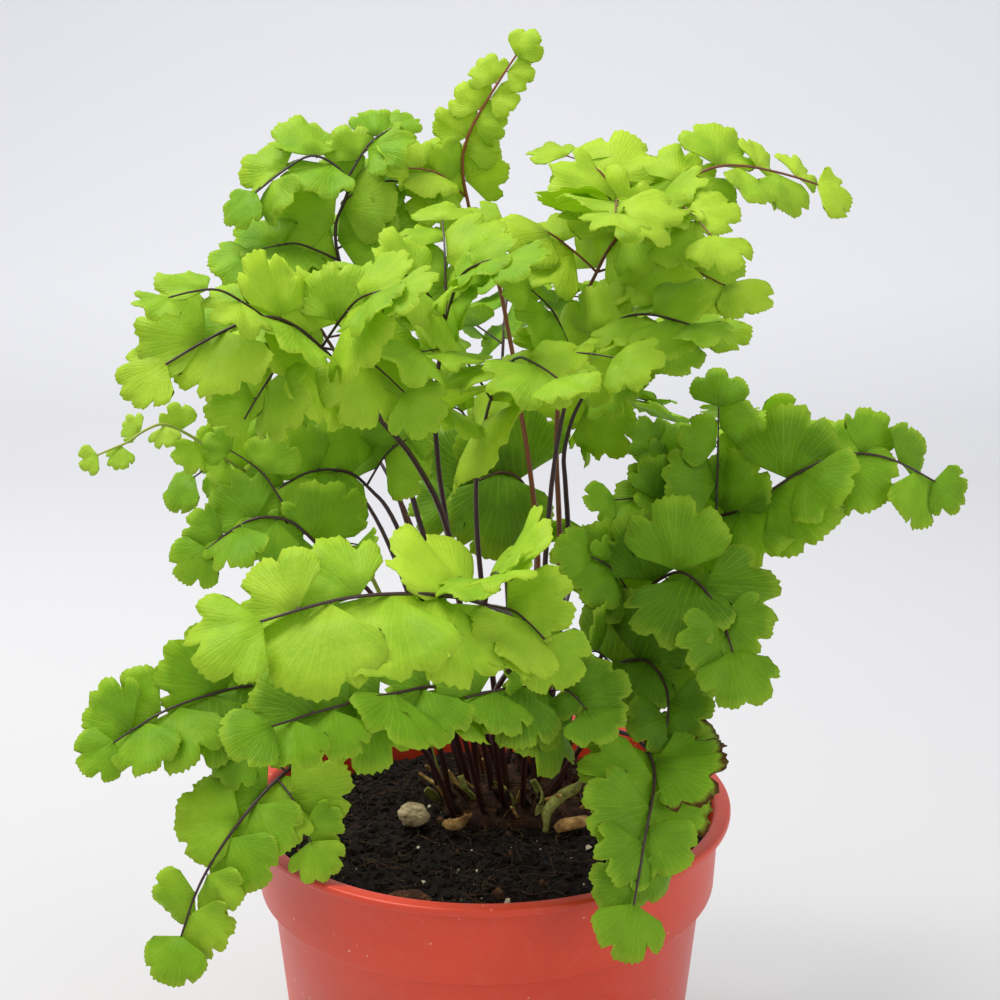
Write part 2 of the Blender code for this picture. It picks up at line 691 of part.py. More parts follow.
def make_fronds(parts, helpers, bodies):
    obstacles = Obstacles()
    for body in bodies:
        obstacles.add_object(body)
    fronds = [grow_frond(name, obstacles) for name in FRONDS]
    template = leaflet_template()
    for frond in fronds:
        stem = tube(f"stem_{frond.name}", *frond.tubes()[0], parts)
        stem.data.materials.append(material("young" if frond.name == "young_left" else "stem"))
        smooth_shading(stem)
        obstacles.add_object(stem, f"stem of {frond.name}")
        for points, radii in frond.tubes()[1:]:
            line = tube("line", points, radii, helpers)
            obstacles.add_object(line, f"lines of {frond.name}")
            bpy.data.objects.remove(line)
    wanted = 0
    kept = 0
    for frond in fronds:
        frames = settle_leaflets(frond, obstacles)
        make_leaf(frond, frames, template, parts, helpers)
        wanted += len(frond.leaflets())
        kept += len(frames)
    print(f"{len(fronds)} fronds, {kept} of {wanted} leaflets")


def settle_leaflets(frond, obstacles):
    """Each leaflet in the first of its moved places that is clear; one with no clear place is left out."""
    frames = []
    for frame in frond.leaflets():
        for move in LEAFLET_MOVES:
            trial = moved_frame(frame, move)
            if not obstacles.hits(trial, frond.name):
                frames.append(trial)
                obstacles.add_leaflet(trial, frond.name)
                break
    return frames


def main():
    clear_scene()
    parts = new_collection("potted_fern")
    helpers = new_collection("helpers")
    helpers.hide_render = True
    bodies = [make_pot(parts), make_soil(parts), make_crown(parts)]
    chips = [make_chip(name, parts) for name in LOOSE_PIECES]
    dry = tube("dry_leaf", smooth_path(DRY_LEAF_POINTS), [1.6, 2.0, 2.2, 2.0, 1.7, 1.3, 0.9], parts)
    dry.data.materials.append(material("dry"))
    bpy.context.view_layer.update()
    make_fronds(parts, helpers, bodies + [dry] + chips)


main()
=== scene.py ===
# %% [markdown]
# # A potted maidenhair fern
#
# The plant stands in a round plastic nursery pot full of damp peat. Everything here is built around a
# fixed frame: simple solids of the pot, the soil, every stem and every blade. The frame says where things
# are and how large they are; this script gives them the surfaces that a real fern, pot and compost have.

import json
import math
import random

import bmesh
import bpy
import numpy as np
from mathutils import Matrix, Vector, noise
from mathutils.bvhtree import BVHTree

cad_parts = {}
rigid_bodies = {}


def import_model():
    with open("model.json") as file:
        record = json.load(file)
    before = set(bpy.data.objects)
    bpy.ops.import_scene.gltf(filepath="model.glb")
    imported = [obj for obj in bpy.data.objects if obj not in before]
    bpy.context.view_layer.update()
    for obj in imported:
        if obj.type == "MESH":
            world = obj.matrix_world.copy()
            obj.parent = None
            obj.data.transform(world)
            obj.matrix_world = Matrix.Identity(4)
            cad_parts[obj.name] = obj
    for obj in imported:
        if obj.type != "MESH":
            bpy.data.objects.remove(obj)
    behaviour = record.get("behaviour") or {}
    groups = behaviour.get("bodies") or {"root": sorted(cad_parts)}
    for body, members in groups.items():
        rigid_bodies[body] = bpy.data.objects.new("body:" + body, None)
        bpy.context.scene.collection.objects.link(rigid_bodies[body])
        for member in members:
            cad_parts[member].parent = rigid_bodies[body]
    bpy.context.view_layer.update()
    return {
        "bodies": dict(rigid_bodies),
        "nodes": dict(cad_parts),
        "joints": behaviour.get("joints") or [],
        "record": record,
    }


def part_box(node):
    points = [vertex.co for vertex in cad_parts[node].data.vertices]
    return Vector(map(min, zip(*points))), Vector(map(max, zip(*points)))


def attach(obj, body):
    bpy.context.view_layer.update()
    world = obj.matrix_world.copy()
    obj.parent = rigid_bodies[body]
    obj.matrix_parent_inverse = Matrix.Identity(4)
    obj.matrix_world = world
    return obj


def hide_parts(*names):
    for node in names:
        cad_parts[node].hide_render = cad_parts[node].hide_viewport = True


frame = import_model()
nodes = frame["nodes"]

# %% [markdown]
# Lengths are thought of in millimetres, because that is how leaves and pots are measured, and turned to
# metres where a mesh is made. Colours are picked as hex values, as on a screen, and turned to the linear
# values that shaders work in. One function adds any kind of node: settings are its properties, inputs are
# values or the sockets that feed it.

# %% Units, colours and nodes
MM = 0.001
BODY = "root"


def linear(hex_colour):
    """The linear RGBA of an sRGB hex colour."""
    parts = [int(hex_colour[i : i + 2], 16) / 255 for i in (1, 3, 5)]
    return tuple(c / 12.92 if c <= 0.04045 else ((c + 0.055) / 1.055) ** 2.4 for c in parts) + (1.0,)


def add(tree, kind, inputs=None, **settings):
    """A new node of this kind. A socket among the inputs is linked, and any other value is set."""
    made = tree.nodes.new(kind)
    for name, value in settings.items():
        setattr(made, name, value)
    for key, value in (inputs or {}).items():
        socket = made.inputs[key]
        if isinstance(value, bpy.types.NodeSocket):
            tree.links.new(value, socket)
        else:
            socket.default_value = value
    return made


def ramp(tree, factor, stops):
    """A colour ramp through (position, hex colour) stops."""
    made = add(tree, "ShaderNodeValToRGB", {"Fac": factor})
    elements = made.color_ramp.elements
    while len(elements) < len(stops):
        elements.new(1.0)
    for element, (position, colour) in zip(elements, stops):
        element.position = position
        element.color = linear(colour)
    return made.outputs["Color"]


def blended(tree, factor, first, second):
    """Two colours mixed; either may be a socket or a hex colour."""
    made = add(tree, "ShaderNodeMix", {"Factor": factor}, data_type="RGBA")
    for socket, value in ((made.inputs[6], first), (made.inputs[7], second)):
        if isinstance(value, str):
            socket.default_value = linear(value)
        else:
            tree.links.new(value, socket)
    return made.outputs[2]


def spread(tree, value, low, high, to_low=0.0, to_high=1.0):
    """The value taken from the range low..high to to_low..to_high, and kept in it."""
    limits = {1: low, 2: high, 3: to_low, 4: to_high}
    return add(tree, "ShaderNodeMapRange", {"Value": value, **limits}).outputs[0]


def maths(tree, operation, *values):
    return add(tree, "ShaderNodeMath", dict(enumerate(values)), operation=operation).outputs[0]


def centred(tree, value, amount):
    """A value from 0..1 moved to lie about zero, and scaled."""
    return maths(tree, "MULTIPLY", maths(tree, "SUBTRACT", value, 0.5), amount)


def stored(tree, name, output="Fac"):
    """An attribute of the mesh, read in a material."""
    return add(tree, "ShaderNodeAttribute", attribute_name=name).outputs[output]


def new_material(name, roughness, **sockets):
    """A material with one Principled shader, and its tree and shader."""
    made = bpy.data.materials.new(name)
    made.use_nodes = True
    shader = made.node_tree.nodes["Principled BSDF"]
    shader.inputs["Roughness"].default_value = roughness
    for socket, value in sockets.items():
        shader.inputs[socket.replace("_", " ")].default_value = value
    return made, made.node_tree, shader


def rough_noise(tree, size_mm, detail=4.0, roughness=0.6):
    """Noise whose patches are about this many millimetres wide, on object coordinates."""
    place = add(tree, "ShaderNodeTexCoord").outputs["Object"]
    inputs = {"Vector": place, "Scale": 1 / (size_mm * MM), "Detail": detail, "Roughness": roughness}
    return add(tree, "ShaderNodeTexNoise", inputs).outputs["Fac"]


def bump(tree, shader, height, depth_mm, strength=1.0):
    made = add(tree, "ShaderNodeBump", {"Height": height, "Distance": depth_mm * MM, "Strength": strength})
    tree.links.new(made.outputs["Normal"], shader.inputs["Normal"])
    return made


# %% [markdown]
# Maidenhair leaflets are thin, soft and a little waxy. Light falls on them and shines through them, so a
# leaflet lit from above glows yellow-green from below. That needs two shaders: Principled for the upper
# surface and Translucent for the light that comes through. Each leaflet carries its own coordinates in the
# attribute `fan`: the first number runs across the fan and the second from the stalk to the margin. The
# veins fork as they go out, so the line pattern doubles in two steps, and the margin is paler, with a
# scorched edge on a few old ones.

# %% Leaflet material
# Veins as (how many across the fan, how far out they are still absent, how far out they are full)
VEIN_FORKS = ((9, 0.5, 0.3), (18, 0.3, 0.5), (36, 0.62, 0.75))
VEIN_PALENESS = 0.26
MARGIN_START, MARGIN_PALENESS = 0.84, 0.45
TINT_SPREAD, MOTTLE_SPREAD = 0.3, 0.5  # how much leaflets differ in colour, and patches of one leaflet
SHINE_THROUGH = 0.48  # the share of light that passes through the sheet
SCORCHED_FACE, SCORCHED_THROUGH = "#6e4519", "#3a230c"


def vein_lines(tree, across, count):
    """Thin bright lines, this many across the fan."""
    wave = maths(tree, "PINGPONG", maths(tree, "MULTIPLY", across, float(count)), 0.5)
    return spread(tree, wave, 0.0, 0.16, 1.0, 0.0)


def leaf_material(name, dark, middle, light, glow):
    """Maidenhair leaf tissue: waxy, so it has a dull sheen, and thin, so it glows against light."""
    made, tree, shader = new_material(name, 0.5, IOR=1.42, Specular_IOR_Level=0.28)
    split = add(tree, "ShaderNodeSeparateXYZ", {0: stored(tree, "fan", "Vector")})
    across, outward = split.outputs["X"], split.outputs["Y"]
    # The attribute age is partly the frond's age and partly painted light and shade: higher on the lit fronds
    # at the top and front, lower on the shaded ones low down, in the middle and on the right.
    age_tint_and_painted_light = maths(tree, "ADD", stored(tree, "age"), centred(tree, stored(tree, "tint"), TINT_SPREAD))
    age_tint_and_painted_light = maths(tree, "ADD", age_tint_and_painted_light, centred(tree, rough_noise(tree, 6.0, 3.0), MOTTLE_SPREAD))
    tissue = ramp(tree, age_tint_and_painted_light, [(0.0, dark), (0.5, middle), (1.0, light)])
    veins = 0.0
    for count, absent, full in VEIN_FORKS:
        lines = maths(tree, "MULTIPLY", vein_lines(tree, across, count), spread(tree, outward, absent, full))
        veins = maths(tree, "MAXIMUM", veins, lines)
    tissue = blended(tree, maths(tree, "MULTIPLY", veins, VEIN_PALENESS), tissue, light)
    tissue = blended(tree, spread(tree, outward, MARGIN_START, 1.0, 0.0, MARGIN_PALENESS), tissue, light)
    edge = maths(tree, "ADD", outward, maths(tree, "MULTIPLY", rough_noise(tree, 2.5), 0.25))
    burnt = maths(tree, "MULTIPLY", spread(tree, edge, 1.04, 1.12), stored(tree, "scorch"))
    tissue = blended(tree, burnt, tissue, SCORCHED_FACE)
    tree.links.new(tissue, shader.inputs["Base Color"])
    relief = maths(tree, "ADD", maths(tree, "MULTIPLY", veins, -0.35), rough_noise(tree, 0.9, 3.0))
    crease = bump(tree, shader, relief, 0.22, 0.7)
    through = blended(tree, burnt, blended(tree, 0.5, tissue, glow), SCORCHED_THROUGH)
    glowing = add(tree, "ShaderNodeBsdfTranslucent", {"Color": through, "Normal": crease.outputs[0]})
    both = add(tree, "ShaderNodeMixShader", {0: SHINE_THROUGH, 1: shader.outputs[0], 2: glowing.outputs[0]})
    tree.links.new(both.outputs[0], tree.nodes["Material Output"].inputs["Surface"])
    return made


leaf_tissue = leaf_material("maidenhair_leaf_tissue", "#4c7d1a", "#8bbd2a", "#cde748", "#d8ee34")
young_tissue = leaf_material("young_leaf_tissue", "#7cb827", "#9fd035", "#cbe655", "#d8f04a")
print("leaf materials:", leaf_tissue.name, young_tissue.name)

# %% [markdown]
# A maidenhair stem is a polished wire: near black with a purple-brown cast where it is old, warm brown
# where it is younger. The attribute `age` says how brown a stem is, from 0 for the darkest.

# %% Stem materials
STREAK_SPREAD = 0.6


def stem_material(name, old, young, roughness):
    """Hard, smooth stem skin like horn: a narrow highlight runs along it, with faint brown streaks."""
    made, tree, shader = new_material(name, roughness, IOR=1.5, Coat_Weight=0.12, Coat_Roughness=0.3)
    share = maths(tree, "ADD", stored(tree, "age"), centred(tree, rough_noise(tree, 3.0, 5.0), STREAK_SPREAD))
    skin = ramp(tree, share, [(0.25, old), (0.95, young)])
    tree.links.new(skin, shader.inputs["Base Color"])
    bump(tree, shader, rough_noise(tree, 0.8), 0.08, 0.4)
    return made


dark_stem = stem_material("polished_fern_stem", "#341717", "#86491f", 0.4)
green_stem = stem_material("young_fern_stem", "#98a63a", "#bccb58", 0.4)
print("stem materials:", dark_stem.name, green_stem.name)

# %% [markdown]
# ## The rule of growth
#
# Every frond follows one rule, the same that shaped its solid in the frame: a stem through a few
# given points, a midrib that carries it on, side branches, and leaflets on alternate sides of each.
# Each row below gives a frond's points in millimetres, and how many leaflets its midrib has, how long they
# are, and which way they face. A branch is the share of the midrib where it starts, its tip, and its
# leaflets' number and length.

# %% The fronds
FRONDS = {
    "low_left": dict(
        root=(-9, 5), stem=[(-16, -3, 133), (-33, -14, 146), (-45, -22, 143)],
        blade=[(-57, -28, 143), (-71, -34, 140), (-82, -38, 134)],
        leaflets=11, length=16, face=(-0.1, -0.85, 0.5), branches=[(0.0, (-48, -32, 155), 4, 13)],
    ),
    "low_rim_left": dict(
        root=(-8, 0), stem=[(-16, -10, 122), (-31, -22, 128), (-43, -34, 127)],
        blade=[(-54, -45, 118), (-62, -50, 106), (-66, -53, 95)],
        leaflets=10, length=13, face=(-0.1, -0.85, 0.5),
        branches=[(0.0, (-56, -36, 132), 4, 12), (0.1, (-38, -46, 114), 4, 12)],
    ),
    "low_front": dict(
        root=(4, 1), stem=[(2, -28, 141), (10, -70, 169), (2, -98, 184)],
        blade=[(-9, -110, 190), (-22, -119, 192), (-35, -125, 190)],
        leaflets=9, length=18, face=(0.05, -0.65, 0.75),
        branches=[(0.0, (3, -115, 195), 4, 15), (0.0, (11, -107, 181), 3, 14)],
    ),
    "low_front_left": dict(
        root=(-1, 0), stem=[(-6, -20, 132), (-8, -44, 149)],
        blade=[(-17, -60, 154), (-28, -73, 156), (-40, -84, 156)],
        leaflets=12, length=15, face=(-0.1, -0.8, 0.6), branches=[],
    ),
    "low_front_right": dict(
        root=(9, 1), stem=[(10, -14, 126), (15, -28, 142)],
        blade=[(8, -40, 148), (-4, -50, 149)],
        leaflets=9, length=15, face=(0.1, -0.85, 0.5), branches=[(0.0, (22, -44, 144), 4, 13)],
    ),
    "low_rim_right": dict(
        root=(15, 3), stem=[(25, -10, 124), (34, -30, 132)],
        blade=[(37, -44, 129), (34, -57, 121), (31, -67, 110)],
        leaflets=11, length=15, face=(0.15, -0.9, 0.4), branches=[],
    ),
    "low_right": dict(
        root=(18, 7), stem=[(23, -2, 128), (29, -12, 142)],
        blade=[(37, -21, 147), (41, -29, 142), (40, -35, 134)],
        leaflets=9, length=14, face=(0.1, -0.85, 0.5), branches=[(0.0, (21, -26, 150), 4, 13)],
    ),
    "mid_right": dict(
        root=(18, 11), stem=[(26, 6, 133), (34, -8, 156)],
        blade=[(44, -20, 168), (51, -30, 163), (54, -38, 155)],
        leaflets=11, length=17, face=(0.15, -0.85, 0.5), branches=[(0.0, (24, -14, 170), 5, 13)],
    ),
    "long_right": dict(
        root=(20, 15), stem=[(23, 12, 136), (34, 8, 162), (46, 2, 173)],
        blade=[(59, -6, 179), (71, -12, 189), (82, -14, 194), (92, -15, 193), (102, -15, 188)],
        leaflets=15, length=15, face=(0.1, -0.8, 0.5),
        branches=[(0.0, (40, 4, 192), 5, 14), (0.0, (30, -4, 181), 4, 12), (0.15, (55, 4, 202), 5, 12)],
    ),
    "centre_fan": dict(
        root=(8, 26), stem=[(12, 32, 141), (12, 31, 171)],
        blade=[(4, 26, 181), (-8, 22, 176)],
        leaflets=5, length=20, face=(0, -0.9, 0.4), branches=[],
    ),
    "upper_right": dict(
        root=(15, 19), stem=[(20, 16, 166), (19, 16, 188), (24, 12, 204)],
        blade=[(33, 5, 214), (41, -1, 219), (51, -6, 221)],
        leaflets=8, length=13, face=(0.1, -0.6, 0.8), branches=[(0.0, (24, 26, 192), 4, 15)],
    ),
    "top_shoot": dict(
        root=(11, 21), stem=[(13, 23, 159), (8, 20, 201), (3, 16, 229), (-4, 11, 248)],
        blade=[(-5, 8, 261), (1, 6, 273), (7, 5, 282)],
        leaflets=11, length=8, face=(0, -0.7, 0.6), branches=[(0.0, (-18, 4, 257), 5, 11)],
    ),
    "top_right": dict(
        root=(14, 14), stem=[(18, 12, 160), (17, 10, 188), (18, 4, 212), (24, -6, 232)],
        blade=[(30, -14, 244), (38, -18, 252), (50, -18, 258), (62, -15, 257), (73, -12, 254)],
        leaflets=14, length=13, face=(0.05, -0.6, 0.75),
        branches=[(0.3, (18, -4, 260), 5, 14), (0.35, (46, -42, 245), 5, 14), (0.0, (52, -24, 233), 7, 14),
                  (0.2, (26, -50, 250), 6, 15), (0.0, (4, -6, 245), 6, 14)],
    ),
    "high_right": dict(
        root=(12, 7), stem=[(14, 2, 160), (16, -4, 190), (20, -12, 212)],
        blade=[(27, -22, 224), (34, -32, 228), (42, -42, 227)],
        leaflets=9, length=14, face=(0.05, -0.65, 0.75), branches=[(0.0, (10, -22, 232), 5, 14)],
    ),
    "high_front": dict(
        root=(5, 8), stem=[(-2, -6, 171), (-1, -16, 195)],
        blade=[(2, -34, 212), (7, -54, 222), (14, -74, 221)],
        leaflets=9, length=16, face=(0.05, -0.65, 0.75),
        branches=[(0.3, (-12, -60, 224), 4, 15), (0.3, (26, -54, 222), 3, 14), (0.0, (-10, -38, 209), 4, 13)],
    ),
    "high_middle": dict(
        root=(1, 9), stem=[(-8, -4, 166), (-11, -22, 203), (-8, -36, 226)],
        blade=[(-4, -48, 238), (4, -58, 242)],
        leaflets=7, length=14, face=(0, -0.65, 0.75),
        branches=[(0.0, (-20, -56, 239), 4, 14), (0.0, (-9, -22, 247), 4, 13)],
    ),
    "high_left": dict(
        root=(-2, 4), stem=[(-8, -26, 178), (-21, -50, 209), (-30, -62, 224)],
        blade=[(-38, -72, 232), (-46, -79, 231), (-57, -83, 225)],
        leaflets=10, length=14, face=(-0.1, -0.7, 0.7),
        branches=[(0.0, (-16, -78, 238), 5, 14), (0.45, (-54, -92, 238), 3, 10),
                  (0.0, (-15, -66, 217), 4, 14), (0.1, (-44, -78, 214), 5, 14)],
    ),
    "top_left": dict(
        root=(3, 15), stem=[(-15, 6, 169), (-21, 3, 194), (-25, 1, 216), (-33, 0, 234)],
        blade=[(-34, 0, 245), (-31, 0, 254), (-39, -4, 260), (-51, -8, 252)],
        leaflets=12, length=13, face=(-0.1, -0.6, 0.75),
        branches=[(0.45, (-21, 4, 266), 4, 11), (0.35, (-14, 2, 253), 4, 12), (0.1, (-20, 0, 241), 4, 12),
                  (0.0, (-52, -10, 239), 6, 13)],
    ),
    "upper_left": dict(
        root=(-1, 19), stem=[(-20, 12, 173), (-28, 13, 197), (-37, 8, 216)],
        blade=[(-44, 0, 228), (-52, -8, 226), (-62, -13, 218)],
        leaflets=9, length=12, face=(-0.1, -0.7, 0.7), branches=[(0.0, (-20, 9, 214), 5, 12)],
    ),
    "mid_left": dict(
        root=(-5, 13), stem=[(-19, 2, 166), (-27, -2, 183)],
        blade=[(-34, -8, 189), (-42, -13, 189), (-50, -16, 184)],
        leaflets=7, length=12, face=(-0.1, -0.85, 0.5), branches=[(0.0, (-18, -6, 196), 4, 12)],
    ),
    "inner_left": dict(
        root=(-12, 11), stem=[(-23, -6, 152), (-35, -18, 170)],
        blade=[(-43, -25, 181), (-52, -28, 182), (-61, -30, 176)],
        leaflets=9, length=12, face=(-0.1, -0.85, 0.5),
        branches=[(0.35, (-56, -24, 197), 3, 11), (0.0, (-28, -26, 176), 3, 11)],
    ),
    "young_left": dict(
        root=(-12, 16), stem=[(-26, 12, 152), (-40, 2, 176), (-51, -9, 186)],
        blade=[(-60, -21, 196), (-69, -30, 204), (-76, -34, 201), (-83, -34, 198)],
        leaflets=10, length=5, face=(0, -0.8, 0.5), branches=[],
    ),
    "back_far_left": dict(
        root=(-7, 21), stem=[(-22, 26, 154), (-35, 30, 178)],
        blade=[(-48, 28, 189), (-60, 23, 189), (-73, 20, 181)],
        leaflets=10, length=13, face=(-0.1, -0.7, 0.7), branches=[(0.0, (-52, 44, 190), 4, 12)],
    ),
    "back_left": dict(
        root=(0, 26), stem=[(-16, 46, 150), (-34, 68, 182)],
        blade=[(-50, 84, 190), (-66, 95, 186), (-80, 102, 174)],
        leaflets=11, length=14, face=(-0.3, 0.5, 0.8), branches=[(0.0, (-28, 92, 186), 5, 14)],
    ),
    "back_middle": dict(
        root=(8, 29), stem=[(4, 48, 168), (4, 62, 206)],
        blade=[(6, 76, 224), (10, 91, 230), (14, 106, 225)],
        leaflets=10, length=14, face=(0, 0.5, 0.85),
        branches=[(0.0, (-22, 80, 214), 5, 14), (0.1, (34, 84, 218), 5, 14)],
    ),
    "back_right": dict(
        root=(17, 25), stem=[(34, 42, 150), (54, 60, 180)],
        blade=[(68, 70, 187), (82, 79, 184), (96, 86, 172)],
        leaflets=11, length=14, face=(0.3, 0.4, 0.85), branches=[(0.0, (42, 84, 190), 5, 14)],
    ),
    "back_low": dict(
        root=(14, 30), stem=[(20, 50, 132), (27, 72, 150)],
        blade=[(30, 86, 151), (31, 98, 144), (31, 108, 132)],
        leaflets=9, length=13, face=(0.1, 0.6, 0.8), branches=[(0.0, (8, 88, 148), 4, 12)],
    ),
}
# The lean of a leaflet from its stem, its twist, and how far single leaflets stray from both, in degrees
LEAFLET_ANGLE = 62
LEAFLET_TWIST = 16
LEAFLET_STRAY = 13
# Where the first leaflet sits, as a share of its line
FIRST_ON_BLADE = 0.04
FIRST_ON_BRANCH = 0.25
# The solid plate of a leaflet: its rim corners as (degrees, share of its length), and its thickness
LEAFLET_RIM = [(-56, 0.82), (0, 1.0), (56, 0.82)]
LEAFLET_PLATE = 0.6
# What was tried for a leaflet with no room: (twist and lift in degrees, size)
LEAFLET_MOVES = [
    (twist, lift, shrink)
    for shrink in (1.0, 0.85, 0.7, 0.58)
    for twist, lift in ((0, 0), (0, 14), (0, -14), (14, 0), (-14, 0), (0, 28), (0, -28), (26, 12), (-26, -12))
]
STEM_RADIUS = 0.8
GAP = 0.3
# The crown and the soil, in millimetres
CROWN_CENTRE = (8.0, 15.0)
CROWN_HALF = (22.0, 19.0)
CROWN_HEIGHT = 6.0
SOIL_TOP = 97.0
print(len(FRONDS), "fronds")

# %% [markdown]
# The rule itself: a smooth curve through the points, then leaflets at even steps along it, leaning out to
# alternate sides and drooping a little. `random.Random` with the frond's name as its seed gives every
# leaflet its own small differences, and the same ones in every run.

# %% Curves and leaflets by rule
def unit(vector):
    vector = np.asarray(vector, float)
    return vector / np.linalg.norm(vector)


def smooth_path(points, span_points=2):
    """Points along a smooth curve through points, span_points to a span."""
    points = np.array(points, float)
    padded = np.vstack([2 * points[0] - points[1], points, 2 * points[-1] - points[-2]])
    path = []
    for before, start, end, after in zip(padded, padded[1:], padded[2:], padded[3:]):
        for t in np.arange(span_points) / span_points:
            path.append(0.5 * (2 * start + (end - before) * t
                               + (2 * before - 5 * start + 4 * end - after) * t**2
                               + (3 * start - before - 3 * end + after) * t**3))
    return np.array(path + [points[-1]])


def lengths_along(path):
    return np.concatenate([[0], np.cumsum(np.linalg.norm(np.diff(path, axis=0), axis=1))])


def place_on(path, share):
    """The point this share of the way along the path, and the path's direction there."""
    along = lengths_along(path)
    target = share * along[-1]
    i = min(int(np.searchsorted(along, target, side="right")) - 1, len(path) - 2)
    step = path[i + 1] - path[i]
    return path[i] + step * (target - along[i]) / (along[i + 1] - along[i]), unit(step)


def turned_about(vector, axis, degrees):
    angle = math.radians(degrees)
    return vector * math.cos(angle) + np.cross(axis, vector) * math.sin(angle)


def leaflet_frames(path, start, count, length, face, seed):
    """(base, outward, face, length) of each leaflet: alternate sides of the path, and the last at its tip."""
    chance = random.Random(seed)
    frames = []
    for i in range(count):
        at_tip = i == count - 1
        share = start + (1 - start) * (i + 0.15) / (count - 0.6)
        if at_tip:
            share = 1 - 0.8 / lengths_along(path)[-1]
        base, forward = place_on(path, share)
        sway = chance.uniform(-LEAFLET_STRAY, LEAFLET_STRAY)
        up = unit(unit(face) - forward * (unit(face) @ forward))
        side = np.cross(forward, up) * (1 if i % 2 else -1)
        lean = math.radians(0 if at_tip else LEAFLET_ANGLE + sway)
        outward = forward * math.cos(lean) + side * math.sin(lean)
        outward = unit(outward + np.array([0, 0, -0.5 * math.tan(math.radians(chance.uniform(4, 20)))]))
        twist = 0 if at_tip else LEAFLET_TWIST * (-1 if i % 2 else 1)
        twist += chance.uniform(-LEAFLET_STRAY, LEAFLET_STRAY)
        up = turned_about(unit(up - outward * (up @ outward)), outward, twist)
        size = length * (1 - 0.38 * share**1.3) * chance.uniform(0.84, 1.18)
        frames.append((base, outward, up, size))
    return frames


def moved_frame(frame, move):
    """The frame of a leaflet twisted about its stalk, lifted and shrunk."""
    base, outward, up, size = frame
    twist, lift, shrink = move
    across = np.cross(outward, up)
    outward = turned_about(outward, across, lift)
    up = turned_about(turned_about(up, across, lift), outward, twist)
    return base, outward, up, size * shrink


def crown_height(x, y):
    """Height of the crown's domed top over this point."""
    across = (x - CROWN_CENTRE[0]) / CROWN_HALF[0]
    along = (y - CROWN_CENTRE[1]) / CROWN_HALF[1]
    return SOIL_TOP + GAP + CROWN_HEIGHT * math.sqrt(max(0.0, 1 - across**2 - along**2))


# %% [markdown]
# In the solids some leaflets were turned or made smaller so that no two of them touch, and a few were left
# out. The rule alone doesn't say which, but the solids do: a leaflet belongs where its plate's corners lie
# on the surface of its frond's solid. So each possible place is tried until the solid confirms one.
# Leaflets of one frond can be joined where they overlap, which buries a corner, so most of the corners are
# enough.

# %% Fronds that agree with the solids
def solid_tree(name):
    """A search tree of a solid's surface, in millimetres."""
    mesh = nodes[name].data
    points = [vert.co / MM for vert in mesh.vertices]
    return BVHTree.FromPolygons(points, [tuple(face.vertices) for face in mesh.polygons])


def confirmed(frame, surface, tolerance=0.05, enough=0.6):
    """Whether most rim corners of this leaflet's plate lie on the surface: a joined plate can hide some."""
    base, outward, up, size = frame
    across = np.cross(outward, up)
    corners = []
    for turn, reach in LEAFLET_RIM:
        angle = math.radians(turn)
        spot = base + size * reach * (outward * math.cos(angle) + across * math.sin(angle))
        corners += [Vector(spot + side * LEAFLET_PLATE / 2 * up) for side in (-1, 1)]
    agreed = sum(surface.find_nearest(corner)[3] <= tolerance for corner in corners)
    return agreed >= enough * len(corners)


def frond_lines(row):
    """The stem, the blade's midrib and the side branches, as the solids have them."""
    x, y = row["root"]
    root = (x, y, crown_height(x, y) + 1.0)
    whole = smooth_path([root] + row["stem"] + row["blade"])
    split = 2 * len(row["stem"])
    stem, blade = whole[: split + 1], whole[split:]
    lead = unit(blade[1] - blade[0]) * (GAP + 0.2)
    blade = np.vstack([blade[0] + lead, blade[1:]])
    branches = []
    for share, tip, _, _ in row["branches"]:
        start, _ = place_on(blade, max(share, FIRST_ON_BLADE))
        tip = np.array(tip, float)
        rise = np.array([0, 0, 0.14 * np.linalg.norm(tip - start)])
        branches.append(smooth_path([start, (start + tip) / 2 + rise, tip]))
    return stem, blade, branches


def frond_leaflets(name, row, blade, branches):
    """The frames of this frond's leaflets that its solid confirms."""
    face = row["face"]
    wanted = leaflet_frames(blade, FIRST_ON_BLADE, row["leaflets"], row["length"], face, name)
    for i, (path, (_, _, count, length)) in enumerate(zip(branches, row["branches"])):
        wanted += leaflet_frames(path, FIRST_ON_BRANCH, count, length, face, f"{name} {i}")
    surface = solid_tree(f"leaf_{name}")
    found = []
    for frame in wanted:
        trials = (moved_frame(frame, move) for move in LEAFLET_MOVES)
        kept = next((trial for trial in trials if confirmed(trial, surface)), None)
        if kept:
            found.append(kept)
    return found


fronds = {}
for name, row in FRONDS.items():
    stem, blade, branches = frond_lines(row)
    fronds[name] = stem, blade, branches, frond_leaflets(name, row, blade, branches)
print(sum(len(parts[3]) for parts in fronds.values()), "leaflets confirmed by the solids")

# %% [markdown]
# ## Geometry Nodes
#
# Three trees do nearly all the growing. The first sweeps a round section along lines, for stems, midribs,
# stalks and fibres. The second puts copies of a few leaflet shapes on points that carry their own
# directions. The third scatters grains. A tree lists its inputs by name, and the helper below sets them by
# identifier, turns the result into a plain mesh and removes the object that carried the modifier. `fitted`
# ties a finished piece to the frame.

# %% Helpers for Geometry Nodes
def new_tree(name, **inputs):
    """An empty tree with a geometry, these named inputs and one output; and its input sockets by name."""
    tree = bpy.data.node_groups.new(name, "GeometryNodeTree")
    for label, kind in {"Geometry": "Geometry", **inputs}.items():
        tree.interface.new_socket(label, in_out="INPUT", socket_type=f"NodeSocket{kind}")
    tree.interface.new_socket("Geometry", in_out="OUTPUT", socket_type="NodeSocketGeometry")
    return tree, {socket.name: socket for socket in tree.nodes.new("NodeGroupInput").outputs if socket.name}


